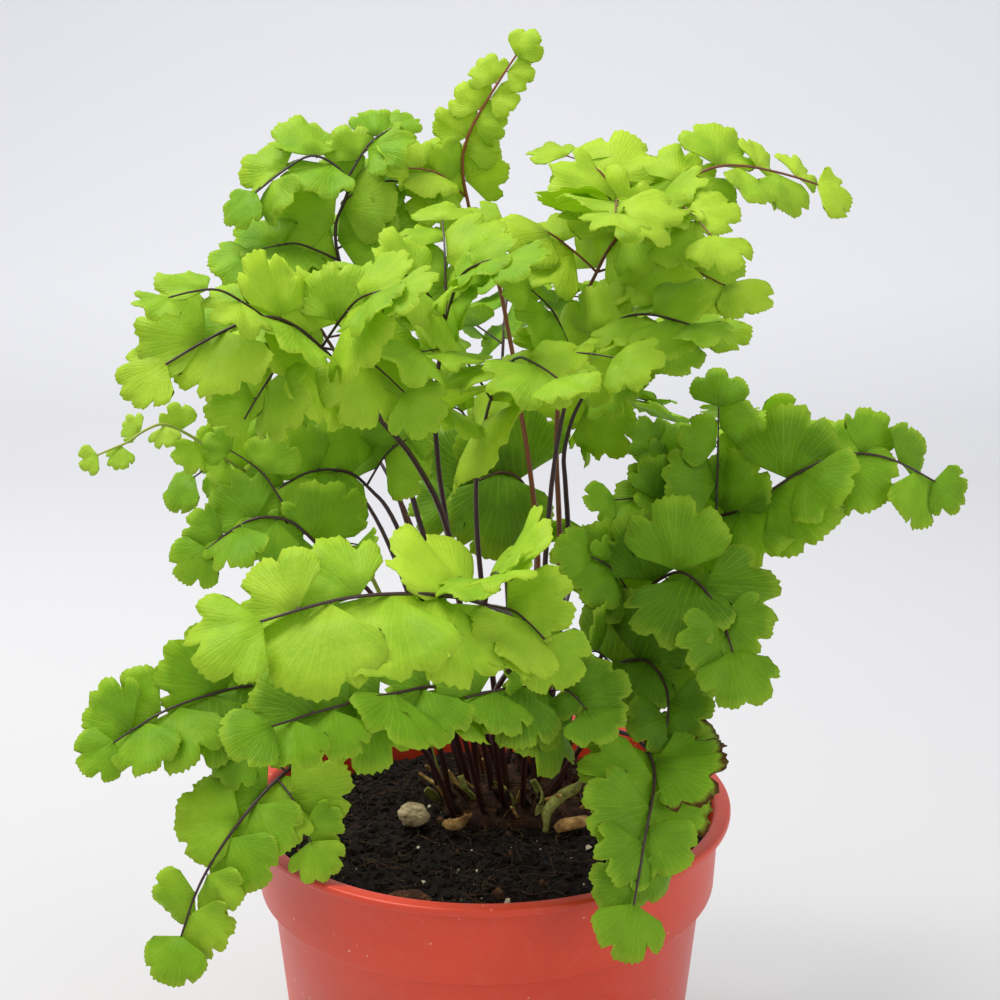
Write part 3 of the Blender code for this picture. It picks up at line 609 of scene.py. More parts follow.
def end_tree(tree, geometry, material):
    """Ends the tree in Realize Instances and Set Material."""
    whole = add(tree, "GeometryNodeRealizeInstances", {0: geometry}).outputs[0]
    dressed = add(tree, "GeometryNodeSetMaterial", {"Geometry": whole, "Material": material}).outputs[0]
    tree.links.new(dressed, tree.nodes.new("NodeGroupOutput").inputs[0])


def named(tree, attribute, kind="FLOAT"):
    return add(tree, "GeometryNodeInputNamedAttribute", {"Name": attribute}, data_type=kind).outputs[0]


def shown(name, mesh):
    """A smooth object of this mesh, in the scene."""
    obj = bpy.data.objects.new(name, mesh)
    bpy.context.scene.collection.objects.link(obj)
    mesh.shade_smooth()
    return obj


def from_bmesh(work, name):
    """The mesh that was being worked on."""
    mesh = bpy.data.meshes.new(name)
    work.to_mesh(mesh)
    work.free()
    return mesh


def fitted(obj, node=None):
    """Ties a finished piece to the body, and lets it stand for a solid if a node is given."""
    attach(obj, BODY)
    if node:
        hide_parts(node)


def plain(obj, name):
    """A plain mesh object of what obj's modifiers make; obj is removed."""
    bpy.context.view_layer.update()
    mesh = bpy.data.meshes.new_from_object(obj.evaluated_get(bpy.context.evaluated_depsgraph_get()))
    bpy.data.objects.remove(obj)
    return shown(name, mesh)


def grown(mesh, name, tree, **values):
    """What the tree makes of this mesh with these input values, as a plain mesh object."""
    seed = shown("seed", mesh)
    modifier = seed.modifiers.new("grow", "NODES")
    modifier.node_group = tree
    sockets = {item.name: item.identifier for item in tree.interface.items_tree if item.in_out == "INPUT"}
    for label, value in values.items():
        modifier[sockets[label]] = value
    return plain(seed, name)


def with_attribute(mesh, name, values, kind="FLOAT"):
    """Stores one value a vertex."""
    made = mesh.attributes.new(name, kind, "POINT")
    made.data.foreach_set("vector" if kind == "FLOAT_VECTOR" else "value", np.ravel(values))


def joined(name, objects):
    """One object of several plain meshes, which keep their materials."""
    with bpy.context.temp_override(active_object=objects[0], selected_editable_objects=objects):
        bpy.ops.object.join()
    objects[0].name = name
    objects[0].data.name = name
    return objects[0]


# %% [markdown]
# The wire tree takes a mesh of plain edges, each vertex with its thickness. Wobble moves the line sideways
# by a little noise, because no stem is a perfect curve.

# %% The wire tree
WOBBLE_SCALE = 90.0  # waves of the wobble, about 11 mm long
WIRE_SPAN_POINTS = 4

wires, inlet = new_tree("wires", Sides="Int", Wobble="Float", Material="Material")
line = add(wires, "GeometryNodeMeshToCurve", {0: inlet["Geometry"]}).outputs[0]
spot = add(wires, "GeometryNodeInputPosition").outputs[0]
stir = add(wires, "ShaderNodeTexNoise", {"Vector": spot, "Scale": WOBBLE_SCALE, "Detail": 1.0})
stir = add(wires, "ShaderNodeVectorMath", {0: stir.outputs["Color"], 1: (0.5, 0.5, 0.5)},
           operation="SUBTRACT").outputs[0]
stir = add(wires, "ShaderNodeVectorMath", {0: stir, "Scale": inlet["Wobble"]}, operation="SCALE").outputs[0]
line = add(wires, "GeometryNodeSetPosition", {"Geometry": line, "Offset": stir}).outputs[0]
circle = add(wires, "GeometryNodeCurvePrimitiveCircle", {"Resolution": inlet["Sides"], "Radius": 1.0})
swept = add(wires, "GeometryNodeCurveToMesh",
            {"Curve": line, "Profile Curve": circle.outputs[0], "Scale": named(wires, "thickness"),
             "Fill Caps": True})
end_tree(wires, swept.outputs[0], inlet["Material"])


def line_mesh(lines, **attributes):
    """A mesh of edges along lines of (points, radii) in millimetres, with one value an attribute for all."""
    points, radii, edges = [], [], []
    for path, widths in lines:
        edges += [(len(points) + i, len(points) + i + 1) for i in range(len(path) - 1)]
        points += [tuple(point * MM) for point in path]
        radii += [width * MM for width in widths]
    mesh = bpy.data.meshes.new("lines")
    mesh.from_pydata(points, edges, [])
    with_attribute(mesh, "thickness", radii)
    for name, value in attributes.items():
        with_attribute(mesh, name, np.full(len(points), value))
    return mesh


def finer(path):
    """The same line with more points, for a rounder curve."""
    return smooth_path(path, WIRE_SPAN_POINTS)


print("tree:", wires.name, "with", len(wires.nodes), "nodes")


# %% [markdown]
# ## Stems
#
# Each stem rises from the crown, 1.6 mm thick at its foot and half of that where the blade begins. The
# line starts a little inside the crown, so that no gap shows where it comes out. The table of ages says
# how light each frond's leaflets are, from 0 for the darkest to 1 for the lightest: partly age, an old
# frond darker than a fresh one, and partly painted light and shade, lighter for the lit fronds at the top
# and front and darker for the shaded ones low down, in the middle and on the right. BROWN_STEMS says
# which stems are browner than the rest.

# %% Stems
# How light each frond's leaflets are: partly age, partly painted light and shade, higher for the lit fronds
# at the top and front, lower for the shaded ones low down, in the middle and on the right.
LEAF_AGES_AND_PAINTED_LIGHT = {
    "low_left": 0.45, "low_rim_left": 0.55, "low_front": 0.75, "low_front_left": 0.35, "low_front_right": 0.3,
    "low_rim_right": 0.4, "low_right": 0.25, "mid_right": 0.35, "long_right": 0.45, "centre_fan": 0.25,
    "upper_right": 0.7, "top_shoot": 0.85, "top_right": 0.85, "high_right": 0.75, "high_front": 0.8,
    "high_middle": 0.65, "high_left": 0.75, "top_left": 0.6, "upper_left": 0.55, "mid_left": 0.5,
    "inner_left": 0.5, "young_left": 0.9, "back_far_left": 0.45, "back_left": 0.45, "back_middle": 0.5,
    "back_right": 0.45, "back_low": 0.35,
}
YOUNG_FROND = "young_left"
BROWN_STEMS = {"top_shoot": 1.0, "top_right": 0.7, "upper_left": 0.45, "centre_fan": 0.4}
CROWN_DEPTH = 3.0  # how far a stem goes into the crown
NECK_RADIUS = 0.42
YOUNG_STEM_RADIUS = 0.65

for name, (stem, blade, branches, leaflets) in fronds.items():
    young = name == YOUNG_FROND
    path = finer(stem)
    thick = YOUNG_STEM_RADIUS if young else STEM_RADIUS
    radii = np.linspace(thick, NECK_RADIUS, len(path))
    foot = path[0] - unit(path[1] - path[0]) * CROWN_DEPTH
    top = path[-1] + unit(blade[1] - blade[0]) * 2 * GAP
    whole = np.vstack([foot, path, top]), [thick, *radii, NECK_RADIUS]
    mesh = line_mesh([whole], age=BROWN_STEMS.get(name, 0.15))
    stipe = grown(mesh, f"stipe_{name}", wires, Sides=12, Wobble=0.5 * MM,
                  Material=green_stem if young else dark_stem)
    fitted(stipe, f"stem_{name}")
print("stems:", len(fronds))

# %% [markdown]
# ## Leaflets
#
# A maidenhair leaflet is a fan: a wedge at its stalk, straight sides, and a broad outer margin cut into a
# few rounded lobes with fine teeth. Seven shapes are enough, because size, twist and ruffle make every
# copy look different. Each is one thin sheet of 72 faces: a ring of triangles round the stalk, a ring of
# four-sided faces, and an outer ring of five-sided ones, which gives the margin twice as many points as
# the rings inside.

# %% Leaflet shapes
FAN_HALF_ANGLE = 72
SECTORS = 24
SHAPES = 7
INNER_RINGS = (0.42, 0.78)  # shares of the way to the margin
TOOTH = 0.014  # how far teeth stand out, as a share of the leaflet's length


def margin_reach(share, notches, chance, outer):
    """How far the margin is from the stalk at this share of the fan, as a share of the leaflet's length."""
    reach = 0.74 + 0.29 * math.sin(math.pi * share) ** 0.8
    for place, depth, width in notches:
        reach *= 1 - depth * math.exp(-(((share - place) / width) ** 2))
    corner = min(share, 1 - share)
    reach *= 1 - 0.2 * max(0.0, 1 - corner / 0.08) ** 1.5
    return reach * (1 + (TOOTH if outer else -0.012) + chance.uniform(-TOOTH, TOOTH))


def leaflet_shape(index):
    """One fan-shaped leaflet of unit length, its stalk at the origin, pointing along +X and facing +Z."""
    chance = random.Random(f"leaflet {index}")
    lobes = 3 + index % 3
    notches = []
    for k in range(1, lobes):
        place, depth = k / lobes + chance.uniform(-0.04, 0.04), chance.uniform(0.08, 0.26)
        notches.append((place, depth, chance.uniform(0.02, 0.045)))
    droop, waves = chance.uniform(0.06, 0.2), chance.uniform(1.5, 3.0)
    ripple, phase = chance.uniform(0.045, 0.09), chance.uniform(0, 6)
    rim = [margin_reach(i / (2 * SECTORS), notches, chance, i % 2) for i in range(2 * SECTORS + 1)]
    points, fan = [(0, 0, 0)], [(0.5, 0, 0)]

    def put(i, share_out):
        """A point on the ray of rim point i, this share of the way out."""
        angle = math.radians(FAN_HALF_ANGLE * (i / SECTORS - 1))
        reach = rim[i] * share_out if share_out == 1 else share_out * (0.4 * rim[i] + 0.57)
        across = i / (2 * SECTORS)
        height = -droop * reach**2.2 + ripple * reach**2 * math.sin(math.tau * waves * across + phase)
        height += 0.05 * reach * math.cos(angle * 1.5)
        points.append((reach * math.cos(angle), reach * math.sin(angle), height))
        fan.append((across, share_out, 0))

    for share_out in INNER_RINGS:
        for i in range(SECTORS + 1):
            put(2 * i, share_out)
    for i in range(2 * SECTORS + 1):
        put(i, 1)
    near, far, edge = 1, SECTORS + 2, 2 * SECTORS + 3
    faces = [(0, near + i, near + i + 1) for i in range(SECTORS)]
    faces += [(near + i, far + i, far + i + 1, near + i + 1) for i in range(SECTORS)]
    faces += [(far + i, *range(edge + 2 * i, edge + 2 * i + 3), far + i + 1) for i in range(SECTORS)]
    mesh = bpy.data.meshes.new(f"leaflet_{index}")
    mesh.from_pydata(points, [], faces)
    mesh.shade_smooth()
    with_attribute(mesh, "fan", fan, "FLOAT_VECTOR")
    return bpy.data.objects.new(f"leaflet_{index}", mesh)


leaflet_shapes = bpy.data.collections.new("leaflet_shapes")
for index in range(SHAPES):
    leaflet_shapes.objects.link(leaflet_shape(index))

# %% [markdown]
# The leaflet tree puts one shape on each point. Two directions stored on the point, along the leaflet and
# out of its face, make the rotation. When the copies are real geometry, noise bends each one a little more
# towards its margin, so that no two copies of a shape are alike.

# %% The leaflet tree
RUFFLE_SCALE = 130.0  # waves of the ruffle, about 8 mm long

leaflets_tree, inlet = new_tree("leaflets", Shapes="Collection", Ruffle="Float", Material="Material")
kinds = add(leaflets_tree, "GeometryNodeCollectionInfo",
            {"Collection": inlet["Shapes"], "Separate Children": True, "Reset Children": True})
turn = add(leaflets_tree, "FunctionNodeAxesToRotation",
           {"Primary Axis": named(leaflets_tree, "outward", "FLOAT_VECTOR"),
            "Secondary Axis": named(leaflets_tree, "face", "FLOAT_VECTOR")},
           primary_axis="X", secondary_axis="Z")
copies = add(leaflets_tree, "GeometryNodeInstanceOnPoints",
             {"Points": inlet["Geometry"], "Instance": kinds.outputs[0], "Pick Instance": True,
              "Instance Index": named(leaflets_tree, "shape", "INT"), "Rotation": turn.outputs[0],
              "Scale": named(leaflets_tree, "size")})
sheet = add(leaflets_tree, "GeometryNodeRealizeInstances", {0: copies.outputs[0]}).outputs[0]
spot = add(leaflets_tree, "GeometryNodeInputPosition").outputs[0]
wave = add(leaflets_tree, "ShaderNodeTexNoise", {"Vector": spot, "Scale": RUFFLE_SCALE, "Detail": 2.0})
fan = named(leaflets_tree, "fan", "FLOAT_VECTOR")
outer = add(leaflets_tree, "ShaderNodeSeparateXYZ", {0: fan}).outputs["Y"]
bend = centred(leaflets_tree, wave.outputs["Fac"], inlet["Ruffle"])
bend = maths(leaflets_tree, "MULTIPLY", bend, outer)
normal = add(leaflets_tree, "GeometryNodeInputNormal").outputs[0]
offset = add(leaflets_tree, "ShaderNodeVectorMath", {0: normal, "Scale": bend}, operation="SCALE").outputs[0]
sheet = add(leaflets_tree, "GeometryNodeSetPosition", {"Geometry": sheet, "Offset": offset}).outputs[0]
end_tree(leaflets_tree, sheet, inlet["Material"])
print("tree:", leaflets_tree.name, "with", len(leaflets_tree.nodes), "nodes")

# %% [markdown]
# Now every blade: its midrib, branches and hair-thin stalks in dark wire, and its leaflets. A leaf has two
# sides and some thickness, so the sheet gets a wall of 0.22 mm with the Solidify modifier, which also
# closes its edge.

# %% Blades
LEAF_WALL = 0.22
TWIG_RADIUS = 0.23
STALK_LENGTH = 0.5
STALK_RADIUS = 0.17
RUFFLE = 5.0
# Leaflets are drawn larger than their plates by this factor, because a lobed fan fills less than its plate
FULLNESS = {"young_left": 1.4, "top_shoot": 1.2, "low_front": 1.02}
USUAL_FULLNESS = 1.1
# On these fronds, leaflets that reach past this x in millimetres are scorched
SCORCHED = {"low_rim_right": 40.0}


def blade_wires(name, blade, branches, leaflets):
    """The midrib, the branches and each leaflet's stalk."""
    midrib = finer(blade)
    lines = [(midrib, np.linspace(NECK_RADIUS, TWIG_RADIUS, len(midrib)))]
    for path in branches:
        fine = finer(path)
        lines.append((fine, np.linspace(1.3 * TWIG_RADIUS, 0.7 * TWIG_RADIUS, len(fine))))
    for base, outward, up, size in leaflets:
        bow = base + outward * STALK_LENGTH * 0.5 + up * 0.15
        tip = base + outward * (STALK_LENGTH + 0.2)
        lines.append((np.array([base, bow, tip]), [STALK_RADIUS * 1.3, STALK_RADIUS, STALK_RADIUS * 0.7]))
    return line_mesh(lines, age=BROWN_STEMS.get(name, 0.1))


def blade_points(name, leaflets):
    """One point a leaflet, with what the leaflet tree and the leaf material read."""
    chance = random.Random(f"tints of {name}")
    mesh = bpy.data.meshes.new("points")
    feet = [tuple((base + outward * STALK_LENGTH) * MM) for base, outward, _, _ in leaflets]
    mesh.from_pydata(feet, [], [])
    with_attribute(mesh, "outward", [outward for _, outward, _, _ in leaflets], "FLOAT_VECTOR")
    with_attribute(mesh, "face", [up for _, _, up, _ in leaflets], "FLOAT_VECTOR")
    fullness = FULLNESS.get(name, USUAL_FULLNESS)
    with_attribute(mesh, "size", [fullness * size * MM for _, _, _, size in leaflets])
    with_attribute(mesh, "shape", [chance.randrange(SHAPES) for _ in leaflets], "INT")
    with_attribute(mesh, "tint", [chance.random() for _ in leaflets])
    # The leaflets' lightness: partly the frond's age, partly painted light and shade.
    with_attribute(mesh, "age", [LEAF_AGES_AND_PAINTED_LIGHT[name]] * len(leaflets))
    limit = SCORCHED.get(name, math.inf)
    reach = [(base + 0.7 * size * outward)[0] for base, outward, _, size in leaflets]
    with_attribute(mesh, "scorch", [float(x > limit) for x in reach])
    return mesh


for name, (stem, blade, branches, leaflets) in fronds.items():
    young = name == YOUNG_FROND
    mesh = blade_wires(name, blade, branches, leaflets)
    ribs = grown(mesh, "ribs", wires, Sides=8, Wobble=0.3 * MM, Material=green_stem if young else dark_stem)
    fans = grown(blade_points(name, leaflets), "fans", leaflets_tree, Shapes=leaflet_shapes,
                 Ruffle=RUFFLE * MM, Material=young_tissue if young else leaf_tissue)
    wall = fans.modifiers.new("wall", "SOLIDIFY")
    wall.thickness = LEAF_WALL * MM
    wall.offset = 0
    fans = plain(fans, "fans")
    piece = joined(f"blade_{name}", [ribs, fans])
    fitted(piece, f"leaf_{name}")
    print(piece.name, len(leaflets), "leaflets,", len(piece.data.polygons), "faces")

# %% [markdown]
# ## Pot
#
# The pot is injection-moulded polypropylene in terracotta red: a thin wall that tapers to the base, a
# wider band at the top with a small step under it, and a rolled lip. Plastic like this is smooth but not
# polished, with a soft wide highlight, faint flow marks and a film of dust and hard-water specks from the
# nursery.

# %% Pot material
SPECK_SPACING = 3.2
SPECK_STRENGTH = 0.7


def pot_material():
    """Moulded terracotta-red polypropylene: satin, so its highlight is wide and soft, under dust."""
    made, tree, shader = new_material("moulded_terracotta_polypropylene", 0.42, IOR=1.5, Coat_Weight=0.22,
                                      Coat_Roughness=0.42)
    cloud = rough_noise(tree, 45.0, 3.0)
    colour = ramp(tree, cloud, [(0.3, "#c7310e"), (0.7, "#d83a10")])
    place = add(tree, "ShaderNodeTexCoord").outputs["Object"]
    dots = add(tree, "ShaderNodeTexVoronoi", {"Vector": place, "Scale": 1 / (SPECK_SPACING * MM)})
    speck = spread(tree, dots.outputs["Distance"], 0.06, 0.12, 1.0, 0.0)
    some = spread(tree, rough_noise(tree, 12.0, 2.0), 0.5, 0.56)
    speck = maths(tree, "MULTIPLY", speck, some)
    colour = blended(tree, maths(tree, "MULTIPLY", speck, SPECK_STRENGTH), colour, "#ecb8a8")
    film = spread(tree, rough_noise(tree, 4.0, 6.0, 0.75), 0.5, 0.8, 0.0, 0.1)
    colour = blended(tree, film, colour, "#d99a86")
    tree.links.new(colour, shader.inputs["Base Color"])
    tree.links.new(spread(tree, cloud, 0.2, 0.8, 0.34, 0.5), shader.inputs["Roughness"])
    bump(tree, shader, rough_noise(tree, 1.1, 3.0), 0.05, 0.35)
    return made


pot_plastic = pot_material()
print("pot material:", pot_plastic.name)

# %% [markdown]
# A pot is a lathe shape, so its wall is one outline turned about the axis. The outline below is the
# moulding's section with sharp corners, and a Bevel modifier rounds every edge that turns more than 20
# degrees: the turning itself has 160 steps of about 2 degrees, which it leaves alone. A slow noise then
# makes the rim a little out of round, as thin plastic is.

# %% Pot
pot_low, pot_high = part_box("pot")
POT_HEIGHT = pot_high.z / MM
LIP_RADIUS = pot_high.x / MM
BAND_RADIUS = LIP_RADIUS - 3.0
BAND_FOOT = POT_HEIGHT - 21.0
SHOULDER_RADIUS = 53.3
BASE_RADIUS = 44.5
WALL = 1.4
TURN_STEPS = 160
OUT_OF_ROUND = 0.35


def turned(name, profile, bevel_mm):
    """A shape turned about Z from (radius, height) points in millimetres that run down its outer side."""
    work = bmesh.new()
    verts = [work.verts.new((radius * MM, 0, height * MM)) for radius, height in profile]
    edges = [work.edges.new(pair) for pair in zip(verts, verts[1:])]
    bmesh.ops.spin(work, geom=verts + edges, cent=(0, 0, 0), axis=(0, 0, 1), angle=math.tau,
                   steps=TURN_STEPS, use_merge=True)
    bmesh.ops.remove_doubles(work, verts=work.verts, dist=0.00001)
    bmesh.ops.recalc_face_normals(work, faces=work.faces)
    obj = shown(name, from_bmesh(work, name))
    rounding = obj.modifiers.new("round", "BEVEL")
    rounding.width = bevel_mm * MM
    rounding.segments = 3
    rounding.limit_method = "ANGLE"
    rounding.angle_limit = math.radians(20)
    return plain(obj, name)


outline = [
    (LIP_RADIUS - 1.9, POT_HEIGHT), (LIP_RADIUS, POT_HEIGHT), (LIP_RADIUS, POT_HEIGHT - 2.0),
    (BAND_RADIUS, POT_HEIGHT - 2.5), (BAND_RADIUS - 0.35, POT_HEIGHT - 12.0),
    (BAND_RADIUS - 0.8, BAND_FOOT + 1.0), (SHOULDER_RADIUS, BAND_FOOT),
    (BASE_RADIUS + 0.7, 1.4), (BASE_RADIUS - 0.8, 0.0), (0.0, 0.0),
    (0.0, 2.0), (BASE_RADIUS - WALL, 2.0), (SHOULDER_RADIUS - WALL, BAND_FOOT),
    (BAND_RADIUS - WALL - 0.9, BAND_FOOT + 2.0), (BAND_RADIUS - WALL, POT_HEIGHT - 1.4),
    (BAND_RADIUS - WALL + 0.9, POT_HEIGHT), (LIP_RADIUS - 1.9, POT_HEIGHT),
]
pot = turned("nursery_pot", outline, 0.6)
for vert in pot.data.vertices:
    sway = noise.noise(vert.co * 18) * OUT_OF_ROUND * MM * (vert.co.z / pot_high.z) ** 2
    vert.co.x += sway * vert.co.x / (LIP_RADIUS * MM)
    vert.co.y += sway * vert.co.y / (LIP_RADIUS * MM)
pot.data.materials.append(pot_plastic)
fitted(pot, "pot")
print("pot", len(pot.data.polygons), "faces,", round(POT_HEIGHT, 1), "mm high")

# %% [markdown]
# ## Soil
#
# Potting peat is nearly black when damp: a felt of moss fragments with brown fibres, clods, scraps of bark
# and white grains of perlite. All of it is rough and dull; what tells the materials apart is how light
# they are and how large their mottling is.

# %% Soil materials
def earth_material(name, dark, middle, light, size_mm, roughness=0.95, depth_mm=0.5):
    """Rough, dull matter whose colour is mottled at this size, with dents of half of it."""
    made, tree, shader = new_material(name, roughness, IOR=1.35)
    shade = ramp(tree, rough_noise(tree, size_mm, 8.0, 0.7), [(0.35, dark), (0.52, middle), (0.72, light)])
    tree.links.new(shade, shader.inputs["Base Color"])
    bump(tree, shader, rough_noise(tree, size_mm * 0.5, 6.0, 0.7), depth_mm, 0.8)
    return made


# Damp peat drinks in light, so the bed is nearly black and its clods stand out only a little
peat = earth_material("damp_moss_peat", "#080504", "#130c08", "#2c1c11", 2.5)
clod_peat = earth_material("crumbled_moss_peat", "#0c0705", "#170f09", "#382416", 1.6)
# Dry things on it are lighter: brown threads, white puffed glass, chips of bark
fibre = earth_material("peat_fibre", "#21160e", "#3b2919", "#6b5238", 2.0, 0.85, 0.1)
perlite = earth_material("expanded_perlite", "#a89a7c", "#cfc4a8", "#eee8d6", 1.0, 0.9, 0.2)
weathered = earth_material("weathered_bark_chip", "#7d6b4b", "#b3a27c", "#ddd0ae", 2.2, 0.85, 0.5)
bark = earth_material("pine_bark", "#1d110a", "#4a2e1b", "#8a6440", 2.4, 0.9, 0.6)
# The plant's own dead parts go from dark wood to straw, the thinner the smoother
wood = earth_material("fern_crown_wood", "#170d08", "#331d10", "#6a4526", 2.0, 0.9, 0.6)
dead_stalk = earth_material("dried_fern_stalk", "#6d4a22", "#a07d42", "#c9b26c", 2.5, 0.7, 0.2)
old_base = earth_material("withered_leaf_base", "#4a4a1c", "#7f8236", "#b3ad62", 3.5, 0.6, 0.3)
dead_leaf = earth_material("dried_fern_leaf", "#5a3a1a", "#96703c", "#c8a86a", 3.0, 0.75, 0.3)
print("earth materials from", peat.name, "to", dead_leaf.name)

# %% [markdown]
# The surface of the soil is a round grid whose heights follow the soil solid and then noise at two sizes,
# for lumps and for crumbs. Clods, grains and fibres are real geometry on top, because from this near they
# are what tells peat from painted mud.

# %% Soil body
SOIL_RINGS = 64
SOIL_SECTORS = 144
SOIL_EDGE_RADIUS = BAND_RADIUS - 0.9 - WALL - GAP
SOIL_FOOT = (43.3, 2.3)
LUMP_WIDTH, LUMP_HEIGHT = 11.0, 1.5
CRUMB_WIDTH, CRUMB_HEIGHT = 2.6, 0.55


def soil_height(radius):
    """Height of the soil's surface this far from the pot's axis, as the solid has it."""
    fall = max(0.0, min(1.0, (radius - 32.0) / (BAND_RADIUS - WALL - 32.0)))
    return SOIL_TOP - 4.0 * fall**1.5


def soil_relief(x, y):
    """The lumps and crumbs of the surface, in millimetres."""
    lumps = noise.fractal(Vector((x / LUMP_WIDTH, y / LUMP_WIDTH, 3.1)), 0.8, 2.1, 5)
    crumbs = noise.fractal(Vector((x / CRUMB_WIDTH, y / CRUMB_WIDTH, 7.7)), 0.9, 2.2, 4)
    return LUMP_HEIGHT * lumps + CRUMB_HEIGHT * crumbs


def skinned(work, middle, rings):
    """Closes a body of rings of points, from the middle of its top to the last ring, its base."""
    count = len(rings[0])
    for j in range(count):
        after = (j + 1) % count
        work.faces.new((middle, rings[0][j], rings[0][after]))
        for inner, outside in zip(rings, rings[1:]):
            work.faces.new((inner[j], outside[j], outside[after], inner[after]))
    work.faces.new(rings[-1][::-1])


work = bmesh.new()
rings = []
for k in range(1, SOIL_RINGS + 1):
    radius = SOIL_EDGE_RADIUS * k / SOIL_RINGS
    ring = []
    for j in range(SOIL_SECTORS):
        x, y = (radius * turn(math.tau * j / SOIL_SECTORS) for turn in (math.cos, math.sin))
        ring.append(work.verts.new((x * MM, y * MM, (soil_height(radius) + soil_relief(x, y)) * MM)))
    rings.append(ring)
below = (SOIL_EDGE_RADIUS, BAND_FOOT + 2), (SHOULDER_RADIUS - WALL - GAP, BAND_FOOT), SOIL_FOOT
for radius, height in below:
    ring = []
    for j in range(SOIL_SECTORS):
        x, y = (radius * turn(math.tau * j / SOIL_SECTORS) for turn in (math.cos, math.sin))
        ring.append(work.verts.new((x * MM, y * MM, height * MM)))
    rings.append(ring)
skinned(work, work.verts.new((0, 0, (soil_height(0) + soil_relief(0, 0)) * MM)), rings)
soil = shown("peat_bed", from_bmesh(work, "peat_bed"))
soil.data.materials.append(peat)
fitted(soil, "soil")
print("soil", len(soil.data.polygons), "faces")

# %% [markdown]
# Grains are scattered by a third tree: random points on the soil's top, clear of the pot's wall, each with
# one of a few lumpy pebbles, turned and scaled at random. The same tree scatters clods, perlite and bark,
# with other numbers.

# %% Scattered grains
PEBBLE_SHAPES = 6
PEBBLE_FACES = 20
WALL_CLEARANCE = 1.6


def pebble(name, seed, squash):
    """A lumpy pebble, about one unit across."""
    chance = random.Random(seed)
    work = bmesh.new()
    bmesh.ops.create_icosphere(work, subdivisions=1, radius=0.5)
    for vert in work.verts:
        vert.co *= chance.uniform(0.55, 1.35)
        vert.co.z *= squash
    return bpy.data.objects.new(name, from_bmesh(work, name))


pebbles = bpy.data.collections.new("pebbles")
for index in range(PEBBLE_SHAPES):
    pebbles.objects.link(pebble(f"pebble_{index}", index, 0.55 + 0.08 * index))

scatter, inlet = new_tree("scatter", Shapes="Collection", Density="Float", Small="Float", Large="Float",
                          Seed="Int", Material="Material")
place = add(scatter, "ShaderNodeSeparateXYZ", {0: add(scatter, "GeometryNodeInputPosition").outputs[0]})
flat_place = add(scatter, "ShaderNodeCombineXYZ", {0: place.outputs["X"], 1: place.outputs["Y"]}).outputs[0]
reach = add(scatter, "ShaderNodeVectorMath", {0: flat_place}, operation="LENGTH").outputs["Value"]
clear_of_wall = add(scatter, "FunctionNodeCompare", {0: reach, 1: (SOIL_EDGE_RADIUS - WALL_CLEARANCE) * MM},
                    operation="LESS_THAN").outputs[0]
on_top = add(scatter, "FunctionNodeCompare", {0: place.outputs["Z"], 1: BAND_FOOT * MM},
             operation="GREATER_THAN").outputs[0]
above = add(scatter, "FunctionNodeBooleanMath", {0: clear_of_wall, 1: on_top}, operation="AND").outputs[0]
sown = add(scatter, "GeometryNodeDistributePointsOnFaces",
           {"Mesh": inlet["Geometry"], "Selection": above, "Density": inlet["Density"],
            "Seed": inlet["Seed"]})
kinds = add(scatter, "GeometryNodeCollectionInfo",
            {"Collection": inlet["Shapes"], "Separate Children": True, "Reset Children": True})
spin = add(scatter, "FunctionNodeRandomValue", {0: (0, 0, 0), 1: (6.3, 6.3, 6.3), "Seed": 4},
           data_type="FLOAT_VECTOR")
even = add(scatter, "FunctionNodeRandomValue", {2: 0.0, 3: 1.0, "Seed": 9}).outputs[1]
rare = maths(scatter, "POWER", even, 3.0)
size = add(scatter, "ShaderNodeMapRange", {"Value": rare, 3: inlet["Small"], 4: inlet["Large"]}).outputs[0]
copies = add(scatter, "GeometryNodeInstanceOnPoints",
             {"Points": sown.outputs[0], "Instance": kinds.outputs[0], "Pick Instance": True,
              "Rotation": spin.outputs[0], "Scale": size})
end_tree(scatter, copies.outputs[0], inlet["Material"])


def scattered(name, density, small, large, seed, material):
    """Grains from small to large millimetres on the soil, this many a square metre."""
    made = grown(soil.data.copy(), name, scatter, Shapes=pebbles, Density=density, Small=small * MM,
                 Large=large * MM, Seed=seed, Material=material)
    made.data.shade_flat()
    fitted(made)
    print(name, len(made.data.polygons) // PEBBLE_FACES, "grains")


scattered("peat_crumbs", 560000.0, 0.5, 3.4, 3, clod_peat)
scattered("perlite_grains", 17000.0, 0.5, 2.6, 11, perlite)
scattered("bark_crumbs", 16000.0, 0.8, 4.0, 17, bark)

# %% [markdown]
# The fibres and rootlets are the wire tree again, on short curly lines that lie on the peat.

# %% Fibres
def curl(chance, x, y, height, length, rise):
    """A short wandering line that starts here and climbs by about this much."""
    heading = chance.uniform(0, math.tau)
    steps = 6
    points = [np.array([x, y, height])]
    for k in range(steps):
        heading += chance.uniform(-0.7, 0.7)
        step = np.array([math.cos(heading), math.sin(heading), rise * chance.uniform(-0.6, 1.2)])
        points.append(points[-1] + step * length / steps)
    return np.array(points)


FIBRES = 420
chance = random.Random("fibres")
lines = []
while len(lines) < FIBRES:
    x, y = chance.uniform(-52, 52), chance.uniform(-52, 52)
    radius = math.hypot(x, y)
    length = chance.uniform(3, 12)
    if radius + length < SOIL_EDGE_RADIUS:
        path = curl(chance, x, y, soil_height(radius) + soil_relief(x, y) + 0.5, length, 0.25)
        lines.append((path, np.linspace(chance.uniform(0.1, 0.24), 0.06, len(path))))
fibres = grown(line_mesh(lines), "peat_fibres", wires, Sides=4, Wobble=0.8 * MM, Material=fibre)
fitted(fibres)
print("fibres", len(lines))

# %% [markdown]
# ## Crown
#
# The fronds rise from a rhizome, a low woody crown covered with the stubs of old stems and wiry rootlets.
# The dome follows its solid, roughened by noise; the stubs are short tapered wires leaning outwards, some
# straw yellow where a stem died back lately.

